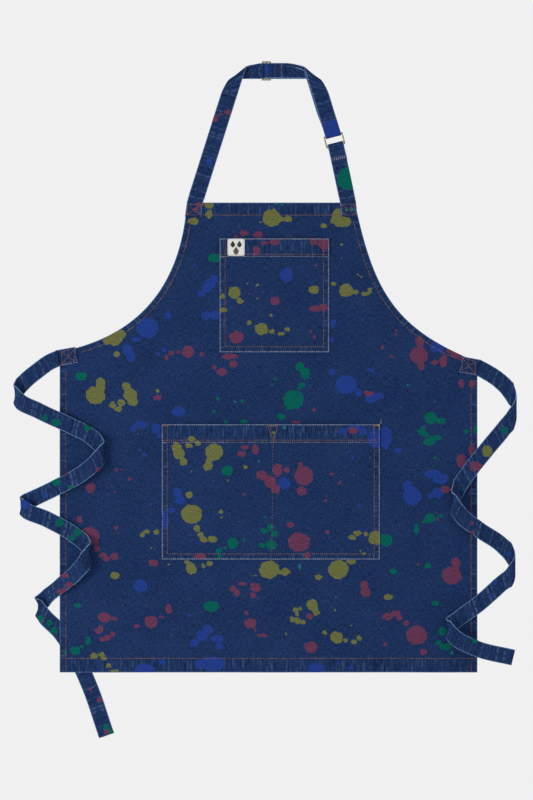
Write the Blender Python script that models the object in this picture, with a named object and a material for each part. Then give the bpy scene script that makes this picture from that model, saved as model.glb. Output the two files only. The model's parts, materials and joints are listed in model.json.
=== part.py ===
"""Bib apron of paint-splashed denim, hanging from its neck loop.

Metres, +Z up, the front of the apron faces -Y. The origin is the middle of the neck loop's
lower edge, where a hook carries the apron. Layers of cloth are stacked along Y.
"""

import math

import bmesh
import bpy
from mathutils import Matrix, Vector

# ---- driving dimensions -------------------------------------------------------------------
GAP = 0.0003  # clearance between two layers that touch on the real apron
CLOTH = 0.0012  # one thickness of denim
WEBBING = 0.0022  # a strap or tie, folded denim tape
TAPE_WIDTH = 0.027  # width of straps and ties

PANEL_HALF_WIDTH = 0.350
BIB_TOP_Z = -0.208
PANEL_BOTTOM_Z = -0.9955
BIB_LEFT_X = -0.137
BIB_RIGHT_X = 0.145
SHOULDER_LEFT_Z = -0.458  # where the left armhole meets the side
SHOULDER_RIGHT_Z = -0.475

STRAP_Y = -0.010  # middle of the straps in front of the neck
PANEL_FRONT_Y = STRAP_Y + WEBBING / 2 + GAP
PANEL_BACK_Y = PANEL_FRONT_Y + CLOTH
HEM_FRONT_Y = PANEL_BACK_Y + GAP
HEM_BACK_Y = HEM_FRONT_Y + CLOTH
STITCH_HIGH = 0.0006
STITCH_WIDE = 0.0010

TOP_HEM = 0.023
BOTTOM_HEM = 0.0245
SIDE_HEM = 0.011
HEM_CORNER = 0.004  # the side hems stop this far short of the top and bottom hems

POCKET_DEEP = 0.0085  # how far a pocket stands off the panel
POCKET_RIM = 0.0025
BIB_POCKET = dict(left=-0.0821, right=0.1017, top=-0.2681, bottom=-0.4591)
WAIST_POCKET = dict(left=-0.1790, right=0.1867, top=-0.5793, bottom=-0.8063)
WAIST_DIVIDER_X = 0.0075
POCKET_HEM = 0.029

FOLD_RADIUS = 0.0050  # the soft diagonal folds at the loop's two top corners
SLIDER_X = -0.0035
SLIDER_HALF = 0.0075
STRAP_END_X = 0.0300  # the strap's end, stitched round the slider's bar
HINGE_CLEAR = 0.0055  # straps stop this far from the bib's swing axis
SWING_Z = BIB_TOP_Z + HINGE_CLEAR

DENIM = (0.020, 0.045, 0.125)
DENIM_LIGHT = (0.05, 0.09, 0.19)
THREAD = (0.42, 0.20, 0.07)
LABEL_CLOTH = (0.80, 0.78, 0.72)
BRASS = (0.52, 0.42, 0.24)


# ---- scene helpers ------------------------------------------------------------------------
def material(name, colour, roughness, metallic=0.0):
    made = bpy.data.materials.new(name)
    made.use_nodes = True
    shader = made.node_tree.nodes["Principled BSDF"]
    shader.inputs["Base Color"].default_value = (*colour, 1.0)
    shader.inputs["Roughness"].default_value = roughness
    shader.inputs["Metallic"].default_value = metallic
    return made


def clear_scene():
    for old in list(bpy.data.objects):
        bpy.data.objects.remove(old, do_unlink=True)


def finish_mesh(name, mesh, look, origin=None):
    """A new object holding a bmesh, with outward faces and its origin at a joint if one is given."""
    bmesh.ops.recalc_face_normals(mesh, faces=mesh.faces)
    data = bpy.data.meshes.new(name)
    mesh.to_mesh(data)
    mesh.free()
    made = bpy.data.objects.new(name, data)
    bpy.context.scene.collection.objects.link(made)
    data.materials.append(look)
    if origin is not None:
        data.transform(Matrix.Translation(-Vector(origin)))
        made.location = origin
    return made


def solid_between(name, outline, front_y, back_y, look, origin=None):
    """A plate whose outline, a list of (x, z), is carried from front_y to back_y."""
    mesh = bmesh.new()
    face = mesh.faces.new([mesh.verts.new((x, front_y, z)) for x, z in outline])
    grown = bmesh.ops.extrude_face_region(mesh, geom=[face])
    moved = [v for v in grown["geom"] if isinstance(v, bmesh.types.BMVert)]
    bmesh.ops.translate(mesh, verts=moved, vec=(0.0, back_y - front_y, 0.0))
    return finish_mesh(name, mesh, look, origin)


def box(name, low, high, look, origin=None):
    """An upright block between two opposite corners."""
    (x0, y0, z0), (x1, y1, z1) = low, high
    outline = [(x0, z0), (x1, z0), (x1, z1), (x0, z1)]
    return solid_between(name, outline, y0, y1, look, origin)


def cut(target, name, low, high):
    """Removes a block from target with a Boolean."""
    cutter = box(name, low, high, target.data.materials[0])
    cutter.hide_render = True
    cutter.display_type = "WIRE"
    hole = target.modifiers.new(name, "BOOLEAN")
    hole.operation = "DIFFERENCE"
    hole.object = cutter


def offset(path, distance):
    """A flat path of (x, z) points moved sideways: a positive distance is to the left of travel."""
    moved = []
    for i, here in enumerate(path):
        before = Vector(path[max(i - 1, 0)])
        after = Vector(path[min(i + 1, len(path) - 1)])
        first = (Vector(here) - before).normalized() if i else None
        second = (after - Vector(here)).normalized() if i < len(path) - 1 else None
        first = first or second
        second = second or first
        along = (first + second).normalized()
        miter = distance / max(along.dot(first), 0.3)
        moved.append((here[0] - along.y * miter, here[1] + along.x * miter))
    return moved


def band(name, path, left, right, front_y, back_y, look, origin=None):
    """A flat strip that follows a path of (x, z) points, between two sideways offsets."""
    outline = offset(path, left) + offset(path, right)[::-1]
    return solid_between(name, outline, front_y, back_y, look, origin)


def stitch_row(name, path, look, front_y=PANEL_FRONT_Y):
    """A raised row of thread along a path, lying on the face at front_y."""
    half = STITCH_WIDE / 2
    back = front_y - GAP
    return band(name, path, half, -half, back - STITCH_HIGH, back, look)


def sweep(name, rungs, thickness, look, origin=None):
    """A flat tape along rungs of (one edge, other edge, face normal)."""
    mesh = bmesh.new()
    rings = []
    for one, other, normal in rungs:
        up = normal * (thickness / 2)
        corners = [one - up, other - up, other + up, one + up]
        rings.append([mesh.verts.new(corner) for corner in corners])
    for ring, following in zip(rings, rings[1:]):
        for i in range(4):
            j = (i + 1) % 4
            mesh.faces.new([ring[i], ring[j], following[j], following[i]])
    mesh.faces.new(rings[0][::-1])
    mesh.faces.new(rings[-1])
    return finish_mesh(name, mesh, look, origin)


# ---- the panel's outline ------------------------------------------------------------------
def curve_between(start, start_angle, start_pull, end, end_angle, end_pull, steps=18):
    """A cubic curve of (x, z) points; angles in degrees give each handle's direction."""
    points = [Vector(start)]
    for base, angle, pull in ((start, start_angle, start_pull), (end, end_angle, end_pull)):
        turn = math.radians(angle)
        points.append(Vector(base) + pull * Vector((math.cos(turn), math.sin(turn))))
    points.append(Vector(end))
    a, b, c, d = points
    line = []
    for i in range(steps + 1):
        t = i / steps
        s = 1 - t
        point = s**3 * a + 3 * s * s * t * b + 3 * s * t * t * c + t**3 * d
        line.append((point.x, point.y))
    return line


def armhole_left():
    """From the bib's top left corner down to the left side."""
    return curve_between(
        (BIB_LEFT_X, BIB_TOP_Z), -94, 0.139, (-PANEL_HALF_WIDTH, SHOULDER_LEFT_Z), 11, 0.136
    )


def armhole_right():
    """From the bib's top right corner down to the right side."""
    return curve_between(
        (BIB_RIGHT_X, BIB_TOP_Z), -78, 0.153, (PANEL_HALF_WIDTH, SHOULDER_RIGHT_Z), 158, 0.150
    )


def cut_path(path, top=None, bottom=None):
    """The stretch of a path that lies between two heights."""
    return [p for p in path if (top is None or p[1] < top) and (bottom is None or p[1] > bottom)]


def build_panel(denim):
    outline = armhole_left()
    outline += [(-PANEL_HALF_WIDTH, PANEL_BOTTOM_Z), (PANEL_HALF_WIDTH, PANEL_BOTTOM_Z)]
    outline += armhole_right()[::-1]
    solid_between("body_panel", outline, PANEL_FRONT_Y, PANEL_BACK_Y, denim)


def build_hems(denim):
    """Each edge is turned to the back and sewn down."""
    hem = (HEM_FRONT_Y, HEM_BACK_Y, denim)
    top_low = BIB_TOP_Z - TOP_HEM
    box(
        "top_hem",
        (BIB_LEFT_X + HEM_CORNER, HEM_FRONT_Y, top_low),
        (BIB_RIGHT_X - HEM_CORNER, HEM_BACK_Y, BIB_TOP_Z - GAP),
        denim,
    )
    box(
        "bottom_hem",
        (-PANEL_HALF_WIDTH + GAP, HEM_FRONT_Y, PANEL_BOTTOM_Z + GAP),
        (PANEL_HALF_WIDTH - GAP, HEM_BACK_Y, PANEL_BOTTOM_Z + BOTTOM_HEM),
        denim,
    )
    for side, sign, shoulder in (("left", -1, SHOULDER_LEFT_Z), ("right", 1, SHOULDER_RIGHT_Z)):
        outer, inner = sign * (PANEL_HALF_WIDTH - GAP), sign * (PANEL_HALF_WIDTH - SIDE_HEM)
        box(
            f"side_hem_{side}",
            (min(outer, inner), HEM_FRONT_Y, PANEL_BOTTOM_Z + BOTTOM_HEM + GAP),
            (max(outer, inner), HEM_BACK_Y, shoulder - SIDE_HEM - HEM_CORNER),
            denim,
        )
    left = cut_path(armhole_left(), top=top_low - HEM_CORNER)
    right = cut_path(armhole_right(), top=top_low - HEM_CORNER)
    band("armhole_hem_left", left, SIDE_HEM, GAP, *hem)
    band("armhole_hem_right", right, -GAP, -SIDE_HEM, *hem)


def build_edge_stitches(thread):
    """The rows of topstitching that hold the hems."""
    inset = 0.0095
    top_z = BIB_TOP_Z - TOP_HEM + 0.001
    bottom_z = PANEL_BOTTOM_Z + BOTTOM_HEM - 0.001
    clear = 0.003
    tab = 0.030  # the sewn strap ends cover the corners of the bib
    stitch_row(
        "top_hem_stitch",
        [(BIB_LEFT_X + tab, top_z), (BIB_RIGHT_X - tab, top_z)],
        thread,
    )
    low_left, low_right = (-PANEL_HALF_WIDTH + clear, bottom_z), (PANEL_HALF_WIDTH - clear, bottom_z)
    stitch_row("bottom_hem_stitch", [low_left, low_right], thread)
    for side, sign, shoulder in (("left", -1, SHOULDER_LEFT_Z), ("right", 1, SHOULDER_RIGHT_Z)):
        x = sign * (PANEL_HALF_WIDTH - inset)
        ends = [(x, shoulder - 0.036), (x, bottom_z + clear)]
        stitch_row(f"side_stitch_{side}", ends, thread)
    for side, path, sign in (("left", armhole_left(), 1), ("right", armhole_right(), -1)):
        row = offset(path, sign * inset)
        row = [p for p in row if BIB_TOP_Z - 0.030 > p[1] and abs(p[0]) < PANEL_HALF_WIDTH - 0.040]
        stitch_row(f"armhole_stitch_{side}", row, thread)


# ---- pockets ------------------------------------------------------------------------------
def pocket_corners(pocket, inset=0.0):
    low = (pocket["left"] + inset, pocket["bottom"] + inset)
    high = (pocket["right"] - inset, pocket["top"] - inset)
    return low, high


def build_pocket(name, pocket, denim, divider_x=None):
    """A patch pocket with its mouth at the top, and the hem folded inside the mouth."""
    back = PANEL_FRONT_Y - GAP
    front = back - POCKET_DEEP
    (x0, z0), (x1, z1) = pocket_corners(pocket)
    patch = box(name, (x0, front, z0), (x1, back, z1), denim)
    walls = [x0, x1] if divider_x is None else [x0, divider_x, x1]
    hollow_front = front + CLOTH
    for number, (left, right) in enumerate(zip(walls, walls[1:])):
        left += POCKET_RIM if left == x0 else POCKET_RIM / 2
        right -= POCKET_RIM if right == x1 else POCKET_RIM / 2
        low = (left, hollow_front, z0 + POCKET_RIM)
        cut(patch, f"{name}_hollow_{number}", low, (right, back + 0.01, z1 + 0.01))
        side = "" if divider_x is None else ("_left", "_right")[number]
        box(
            f"{name}_hem{side}",
            (left + GAP, hollow_front + GAP, z1 - POCKET_HEM),
            (right - GAP, hollow_front + GAP + CLOTH, z1),
            denim,
        )


def build_pocket_stitches(name, pocket, thread, divider_x=None):
    """Rows of thread on the pocket's face: along the mouth's hem and round the other three sides."""
    face = PANEL_FRONT_Y - GAP - POCKET_DEEP
    inset = 0.0095
    (x0, z0), (x1, z1) = pocket_corners(pocket, inset)
    hem_z = pocket["top"] - POCKET_HEM
    clear = 0.002
    stitch_row(f"{name}_hem_stitch", [(x0 + clear, hem_z), (x1 - clear, hem_z)], thread, face)
    around = [(x0, pocket["top"] - clear), (x0, z0), (x1, z0), (x1, pocket["top"] - clear)]
    stitch_row(f"{name}_stitch", around, thread, face)
    if divider_x is not None:
        middle = [(divider_x, hem_z - clear), (divider_x, z0 + clear)]
        stitch_row(f"{name}_divider_stitch", middle, thread, face)


def build_label(look):
    """A small woven patch at the bib pocket's top left corner."""
    side = 0.0285
    face = PANEL_FRONT_Y - GAP - POCKET_DEEP - GAP - STITCH_HIGH - GAP
    left = BIB_POCKET["left"] + 0.0135
    top = BIB_POCKET["top"] - 0.0008
    box("woven_label", (left, face - 0.0008, top - side), (left + side, face, top), look)


# ---- neck strap ---------------------------------------------------------------------------
FRONT = Vector((0.0, -1.0, 0.0))
BACK = Vector((0.0, 1.0, 0.0))
LEFT_LEAN = math.radians(72.4)
RING_LEAN = math.radians(104.5)
UPPER_LEAN = math.radians(107.0)  # the right leg above the ring leans more than below it
LEFT_FOOT = Vector((-0.1200, STRAP_Y, SWING_Z + HINGE_CLEAR))  # strap middle over the bib
RIGHT_FOOT = Vector((0.1309, STRAP_Y, SWING_Z + HINGE_CLEAR))
EASE_RADIUS = 0.080  # the outer edges of the two top corners are drawn in to this curve
RIGHT_LEAN = math.radians(102.3)  # the short strap, from the bib to the ring
NECK_Y = STRAP_Y + 2 * FOLD_RADIUS  # the level stretch behind the neck
NECK_Z = TAPE_WIDTH / 2
BAR = 0.0024  # thickness of the ring's wire
RING_WINDOW = 0.0165  # height inside the ring
RING_X, RING_Z = 0.1105, -0.1035  # middle of the ring
RING_PLAY = 0.0012  # room for the ring to tip in the short strap's loop
LOOP_RADIUS = BAR / math.sqrt(2) + GAP + WEBBING / 2
LAYER = WEBBING + GAP
LOOP_TAIL = 0.0260  # the short strap's end, sewn down behind it
RING_MIDDLE = Vector((RING_X, STRAP_Y + LOOP_RADIUS, RING_Z))


def heading(lean):
    """The direction up a leaning strap."""
    return Vector((math.cos(lean), 0.0, math.sin(lean)))


def at_height(foot, lean, height):
    """The point of a leaning strap's middle at a given height."""
    return foot + heading(lean) * ((height - foot.z) / math.sin(lean))


def straight(start, end, normal, width, steps=1):
    """Square rungs of a straight stretch, both ends included."""
    across = normal.cross((end - start).normalized()) * (width / 2)
    middles = [start.lerp(end, i / steps) for i in range(steps + 1)]
    return [(middle - across, middle + across, normal) for middle in middles]


def loop_round(bar, forward, normal, width, radius, steps=8):
    """Rungs that go half way round a bar, from its front, past it along forward, to its back."""
    across = normal.cross(forward) * (width / 2)
    rungs = []
    for i in range(steps + 1):
        turn = math.pi * i / steps
        out = normal * math.cos(turn) + forward * math.sin(turn)
        rungs.append((bar + out * radius - across, bar + out * radius + across, out))
    return rungs


def fold_start(foot, lean):
    """Where a leaning leg's middle line reaches the roll that it folds over, and the roll's axes."""
    up = heading(lean)
    level = Vector((1.0 if foot.x < 0 else -1.0, 0.0, 0.0))
    crease = (up + level).normalized()
    beyond = (up - crease * up.dot(crease)).normalized()
    start = at_height(foot, lean, NECK_Z - beyond.z * math.pi * FOLD_RADIUS)
    return start, up, crease, beyond


def corner_fold(foot, lean, width, inside=0.0, steps=10):
    """Rungs of the soft fold in which a leaning leg turns over its crease to run level behind.

    The tape wraps a roll whose axis is the crease, so its rungs lie along the crease.
    inside moves the tape towards the roll's axis, for a second layer.
    """
    start, up, crease, beyond = fold_start(foot, lean)
    across = FRONT.cross(up)
    rungs = []
    for i in range(steps + 1):
        turn = math.pi * i / steps
        over = FOLD_RADIUS * turn
        out = beyond * math.sin(turn) + FRONT * math.cos(turn)
        roll = start + BACK * FOLD_RADIUS + out * (FOLD_RADIUS - inside)
        ends = []
        for side in (-width / 2, width / 2):
            run = (over - side * across.dot(beyond)) / up.dot(beyond)
            ends.append(roll + crease * (run * up.dot(crease) + side * across.dot(crease)))
        rungs.append((ends[0], ends[1], out))
    return rungs


def eased(rungs, foot, lean, inside=0.0):
    """The same rungs, with the corner between a leg's outer edge and the loop's top rounded."""
    outward = FRONT.cross(heading(lean)) * (1.0 if foot.x < 0 else -1.0)
    middle_z = TAPE_WIDTH - EASE_RADIUS
    edge_reach = outward.dot(foot) + TAPE_WIDTH / 2 - EASE_RADIUS
    middle_x = (edge_reach - outward.z * middle_z) / outward.x
    radius = EASE_RADIUS - 2 * inside

    def draw_in(point):
        arm = Vector((point.x - middle_x, 0.0, point.z - middle_z))
        share = arm.x / outward.x
        if share <= 0 or arm.z <= share * outward.z or arm.length <= radius:
            return point
        return point + arm * (radius / arm.length - 1.0)

    return [(draw_in(one), draw_in(other), normal) for one, other, normal in rungs]


def turned_back(rungs):
    """The same rungs, travelled the other way."""
    return [(other, one, normal) for one, other, normal in rungs[::-1]]


def build_neck_strap(denim):
    """One tape from the left of the bib, round the neck, through the ring and back up, in two
    pieces that meet under the ring's upper bar, and the short strap that holds the ring."""
    width = TAPE_WIDTH
    down = -heading(RING_LEAN)
    half_window = (RING_WINDOW + BAR) / 2
    upper_bar = RING_MIDDLE - down * half_window
    lower_bar = RING_MIDDLE + down * half_window
    upper_foot = upper_bar + FRONT * LOOP_RADIUS
    leg = 0.07  # the fold's outer corner is drawn in over this much of the leg
    base = at_height(LEFT_FOOT, LEFT_LEAN, NECK_Z - leg)
    rungs = straight(LEFT_FOOT, base, FRONT, width)[:1]
    rungs += straight(base, base + heading(LEFT_LEAN) * 0.03, FRONT, width, 3)
    rungs += corner_fold(LEFT_FOOT, LEFT_LEAN, width)
    level_from, level_to = Vector((-0.016, NECK_Y, NECK_Z)), Vector((0.036, NECK_Y, NECK_Z))
    rungs += straight(level_from, level_to, BACK, width, 4)
    base = at_height(upper_foot, UPPER_LEAN, NECK_Z - leg)
    right = straight(base, base + heading(UPPER_LEAN) * 0.03, FRONT, width, 3)
    rungs += turned_back(right + corner_fold(upper_foot, UPPER_LEAN, width))
    rungs = eased(eased(rungs, LEFT_FOOT, LEFT_LEAN), upper_foot, UPPER_LEAN)
    rungs += loop_round(upper_bar, down, FRONT, width, LOOP_RADIUS)
    sweep("neck_strap_long", rungs, WEBBING, denim)

    narrow = width - 0.003
    behind = BACK * LAYER
    second = corner_fold(upper_foot, UPPER_LEAN, narrow, inside=LAYER)
    low = straight(base + behind, base + behind + heading(UPPER_LEAN) * 0.03, FRONT, narrow, 3)
    second = turned_back(eased(low + second, upper_foot, UPPER_LEAN, inside=LAYER))
    level_end = Vector((STRAP_END_X, NECK_Y - LAYER, NECK_Z))
    rungs = straight(level_end, level_end + Vector((0.01, 0.0, 0.0)), BACK, narrow)[:1] + second
    foot = upper_bar + BACK * LOOP_RADIUS - down * GAP
    rungs += straight(foot, foot + down, FRONT, narrow)[:1]
    sweep("neck_strap_return", rungs, WEBBING, denim)

    radius = LOOP_RADIUS + RING_PLAY
    front_top = lower_bar + FRONT * radius
    rungs = straight(RIGHT_FOOT, front_top, FRONT, width)
    rungs = rungs[:1] + loop_round(lower_bar, -down, FRONT, width, radius)
    tail = lower_bar + BACK * radius
    rungs += straight(tail, tail + down * LOOP_TAIL, BACK, width)[1:]
    sweep("neck_strap_short", rungs, WEBBING, denim)


def build_ring(brass):
    """The flat metal ring between the two straps, in the plane of the leaning strap."""
    half_width = TAPE_WIDTH / 2 + 0.0006 + BAR
    half_high = RING_WINDOW / 2 + BAR
    made = box(
        "square_ring", (-half_width, -BAR / 2, -half_high), (half_width, BAR / 2, half_high), brass
    )
    cut(
        made,
        "ring_window",
        (-half_width + BAR, -BAR, -RING_WINDOW / 2),
        (half_width - BAR, BAR, RING_WINDOW / 2),
    )
    hinge = RING_MIDDLE + heading(RING_LEAN) * ((RING_WINDOW + BAR) / 2)
    pivot = bpy.data.objects.new("ring_pivot", None)
    bpy.context.scene.collection.objects.link(pivot)
    pivot.location = hinge
    pivot.rotation_euler = (0.0, math.pi / 2 - RING_LEAN, 0.0)
    for piece in (made, bpy.data.objects["ring_window"]):
        piece.parent = pivot
        piece.location = (0.0, 0.0, -(RING_WINDOW + BAR) / 2)


def build_slider(brass, denim):
    """The slider on the level stretch, and the strap's end, sewn round the slider's bar."""
    bar = 0.0016
    high = TAPE_WIDTH / 2 + 0.0008
    deep = WEBBING / 2 + GAP
    made = box(
        "slider_buckle",
        (SLIDER_X - SLIDER_HALF, NECK_Y - deep - bar, NECK_Z - high - bar),
        (SLIDER_X + SLIDER_HALF, NECK_Y + deep + bar, NECK_Z + high + bar),
        brass,
    )
    cut(
        made,
        "slider_slot",
        (SLIDER_X - 2 * SLIDER_HALF, NECK_Y - deep, NECK_Z - high),
        (SLIDER_X + 2 * SLIDER_HALF, NECK_Y + deep, NECK_Z + high),
    )
    # the strap's end lies in front of the return layer, so that it can slide past it
    end_y = NECK_Y - 2 * LAYER
    half = TAPE_WIDTH / 2 - 0.001
    box(
        "slider_strap_end",
        (SLIDER_X, end_y - WEBBING / 2, NECK_Z - half),
        (STRAP_END_X - 0.002, end_y + WEBBING / 2, NECK_Z + half),
        denim,
    )


def build_strap_ends(denim, thread):
    """The straps' ends, sewn flat on the front of the bib, with a box of stitches each."""
    length = 0.0235
    for side, foot in (("left", LEFT_FOOT), ("right", RIGHT_FOOT)):
        lean = LEFT_LEAN if side == "left" else RIGHT_LEAN
        middle = at_height(foot, lean, BIB_TOP_Z).x
        half = TAPE_WIDTH / 2
        slope = math.cos(lean) * length * 0.45
        top, bottom = BIB_TOP_Z - GAP, BIB_TOP_Z - length
        outline = [
            (middle - half, top),
            (middle + half, top),
            (middle + half - slope, bottom),
            (middle - half - slope, bottom),
        ]
        front, back = STRAP_Y - WEBBING / 2, STRAP_Y + WEBBING / 2
        solid_between(f"strap_end_{side}", outline, front, back, denim)
        inset = 0.0022
        corners = [
            (middle - half + inset, top - inset),
            (middle - half - slope + inset, bottom + inset),
            (middle + half - slope - inset, bottom + inset),
            (middle + half - inset, top - inset),
        ]
        stitch_row(f"strap_end_stitch_{side}", corners, thread, front)


# ---- waist ties ---------------------------------------------------------------------------
# Stops along a tie: across, up, how far in front of its sewn end, and how square its section
# stands to its line, from 0, upright, to 1.
HALF_SQUARE = 0.5
LONGEST_RUNG = 1.35  # in tape widths, where a leaning tape is cut across upright
TIE_LEFT_STOPS = [
    (-0.3520, -0.4690, 0.0000, HALF_SQUARE),
    (-0.3665, -0.4755, 0.0000, 1.0),
    (-0.3840, -0.4880, 0.0000, HALF_SQUARE),
    (-0.4050, -0.5050, 0.0000, HALF_SQUARE),
    (-0.4185, -0.5195, 0.0015, HALF_SQUARE),
    (-0.4234, -0.5290, 0.0080, HALF_SQUARE),  # left turn
    (-0.4175, -0.5385, 0.0145, HALF_SQUARE),
    (-0.3840, -0.5570, 0.0110, HALF_SQUARE),
    (-0.3332, -0.5810, 0.0050, HALF_SQUARE),
    (-0.3000, -0.5985, 0.0005, HALF_SQUARE),
    (-0.2845, -0.6120, 0.0010, HALF_SQUARE),
    (-0.2770, -0.6240, 0.0090, HALF_SQUARE),  # right turn
    (-0.2850, -0.6385, 0.0170, HALF_SQUARE),
    (-0.3080, -0.6590, 0.0150, HALF_SQUARE),
    (-0.3584, -0.6870, 0.0070, HALF_SQUARE),
    (-0.3950, -0.7045, 0.0000, HALF_SQUARE),
    (-0.4090, -0.7110, 0.0010, HALF_SQUARE),
    (-0.4138, -0.7155, 0.0055, HALF_SQUARE),  # left turn
    (-0.4090, -0.7205, 0.0100, HALF_SQUARE),
    (-0.3700, -0.7385, 0.0080, HALF_SQUARE),
    (-0.3250, -0.7650, 0.0005, HALF_SQUARE),
    (-0.3060, -0.7810, 0.0010, HALF_SQUARE),
    (-0.2995, -0.7915, 0.0085, HALF_SQUARE),  # right turn
    (-0.3040, -0.8040, 0.0160, HALF_SQUARE),
    (-0.3215, -0.8270, 0.0130, HALF_SQUARE),
    (-0.3495, -0.8505, 0.0020, HALF_SQUARE),  # comes off the panel, to turn behind it
    (-0.3740, -0.8720, -0.0160, HALF_SQUARE),
    (-0.3864, -0.8860, -0.0140, HALF_SQUARE),  # left turn
    (-0.3800, -0.8965, -0.0105, HALF_SQUARE),
    (-0.3500, -0.9283, -0.0110, HALF_SQUARE),
    (-0.3255, -0.9650, -0.0110, 1.0),
    (-0.3020, -1.0150, -0.0110, 1.0),
    (-0.2717, -1.1020, -0.0110, 1.0),
]
TIE_RIGHT_STOPS = [
    (0.3520, -0.4850, 0.0000, HALF_SQUARE),
    (0.3668, -0.4930, 0.0000, 1.0),
    (0.3820, -0.5030, 0.0010, HALF_SQUARE),
    (0.3990, -0.5190, 0.0030, HALF_SQUARE),
    (0.4085, -0.5330, 0.0050, 0.15),
    (0.4138, -0.5500, 0.0085, 0.0),  # right turn, in which the tape leans away
    (0.4085, -0.5665, 0.0120, 0.15),
    (0.3927, -0.5872, 0.0130, HALF_SQUARE),
    (0.3624, -0.6241, 0.0105, HALF_SQUARE),
    (0.3315, -0.6648, 0.0030, HALF_SQUARE),
    (0.3165, -0.6890, 0.0010, HALF_SQUARE),
    (0.3089, -0.7085, 0.0090, HALF_SQUARE),  # left turn
    (0.3200, -0.7295, 0.0170, HALF_SQUARE),
    (0.3517, -0.7554, 0.0150, HALF_SQUARE),
    (0.3886, -0.7806, 0.0110, HALF_SQUARE),
    (0.4050, -0.7985, 0.0100, 0.15),
    (0.4114, -0.8150, 0.0120, 0.0),  # right turn
    (0.4046, -0.8318, 0.0140, 0.15),
    (0.3886, -0.8461, 0.0120, HALF_SQUARE),
    (0.3517, -0.8796, 0.0060, HALF_SQUARE),
    (0.3180, -0.9050, 0.0010, HALF_SQUARE),
    (0.3000, -0.9195, 0.0085, HALF_SQUARE),  # left turn
    (0.3115, -0.9350, 0.0160, HALF_SQUARE),
    (0.3450, -0.9528, 0.0160, 1.0),
    (0.4084, -0.9689, 0.0160, 1.0),
]
TIE_Y = STRAP_Y - WEBBING - STITCH_HIGH - 2 * GAP  # in front of the tie's sewn end


def tie_line(stops, spacing=0.008):
    """A smooth line through a tie's stops, as (point, squareness) sampled about every spacing."""
    points = [Vector((x, TIE_Y - forward, z)) for x, z, forward, square in stops]
    runs = [(after - here).length for here, after in zip(points, points[1:])]
    slopes = [(after - here) / run for here, after, run in zip(points, points[1:], runs)]
    pulls = [slopes[0]]
    for i in range(1, len(runs)):
        both = slopes[i - 1] * runs[i] + slopes[i] * runs[i - 1]
        pulls.append(both / (runs[i - 1] + runs[i]))
    pulls.append(slopes[-1])
    line = []
    for i, run in enumerate(runs):
        pieces = max(1, round(run / spacing))
        for k in range(pieces):
            t = k / pieces
            s2, s3 = t * t, t**3
            point = points[i] * (2 * s3 - 3 * s2 + 1) + pulls[i] * (run * (s3 - 2 * s2 + t))
            point += points[i + 1] * (3 * s2 - 2 * s3) + pulls[i + 1] * (run * (s3 - s2))
            line.append((point, stops[i][3] * (1 - t) + stops[i + 1][3] * t))
    line.append((points[-1], stops[-1][3]))
    return line


def tie_rungs(line):
    """Rungs of a tie. The tape stands on edge, with rungs between upright and square."""
    up = Vector((0.0, 0.0, 1.0))
    rungs = []
    for i, (here, square_share) in enumerate(line):
        along = (line[min(i + 1, len(line) - 1)][0] - line[max(i - 1, 0)][0]).normalized()
        normal = along.cross(up).normalized()
        square = normal.cross(along)
        rung = up.lerp(square, square_share).normalized()
        half = rung * (TAPE_WIDTH / 2 * min(LONGEST_RUNG, 1.0 / rung.dot(square)))
        rungs.append((here - half, here + half, normal))
    return rungs


def build_ties(denim, thread):
    """Two long ties, each sewn to a corner with a crossed box of stitches."""
    for side, sign, stops in (("left", -1, TIE_LEFT_STOPS), ("right", 1, TIE_RIGHT_STOPS)):
        start = stops[0]
        hinge = (start[0], TIE_Y, start[1])
        sweep(f"tie_{side}", tie_rungs(tie_line(stops)), WEBBING, denim, origin=hinge)

        inner = start[0] - sign * 0.0305
        outer = start[0] - sign * 0.0035
        half = TAPE_WIDTH / 2
        tilt = 0.006
        front, back = STRAP_Y - WEBBING / 2, STRAP_Y + WEBBING / 2
        outline = [
            (inner, start[1] + half + tilt),
            (outer, start[1] + half),
            (outer, start[1] - half),
            (inner, start[1] - half + tilt),
        ]
        solid_between(f"tie_end_{side}", outline, front, back, denim)
        inset = 0.0028
        high, low = start[1] + half - inset, start[1] - half + inset
        near, far = outer - sign * inset, inner + sign * inset
        zigzag = [(near, low), (near, high), (far, high + tilt), (far, low + tilt)]
        stitch_row(f"tie_end_stitch_{side}", zigzag, thread, front)


def build_bartacks(thread):
    """Short dense bars of thread where the waist pocket takes the strain."""
    face = PANEL_FRONT_Y - GAP - POCKET_DEEP - GAP
    high, half = 0.0012, 0.0035
    top = WAIST_POCKET["top"] - 0.0008
    spots = (("left", WAIST_POCKET["left"] + 0.0045), ("middle", WAIST_DIVIDER_X))
    spots += (("right", WAIST_POCKET["right"] - 0.0045),)
    for name, x in spots:
        low = (x - half, face - STITCH_HIGH, top - high)
        box(f"bartack_{name}", low, (x + half, face, top), thread)


def main():
    clear_scene()
    denim = material("denim", DENIM, 0.85)
    webbing = material("denim_tape", DENIM_LIGHT, 0.85)
    thread = material("topstitch_thread", THREAD, 0.6)
    label = material("label_cloth", LABEL_CLOTH, 0.8)
    brass = material("antique_brass", BRASS, 0.35, 1.0)
    build_panel(denim)
    build_hems(denim)
    build_edge_stitches(thread)
    build_pocket("bib_pocket", BIB_POCKET, denim)
    build_pocket("waist_pocket", WAIST_POCKET, denim, WAIST_DIVIDER_X)
    build_pocket_stitches("bib_pocket", BIB_POCKET, thread)
    build_pocket_stitches("waist_pocket", WAIST_POCKET, thread, WAIST_DIVIDER_X)
    build_label(label)
    build_neck_strap(webbing)
    build_ring(brass)
    build_slider(brass, webbing)
    build_strap_ends(webbing, thread)
    build_ties(webbing, thread)
    build_bartacks(thread)


main()
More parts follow.
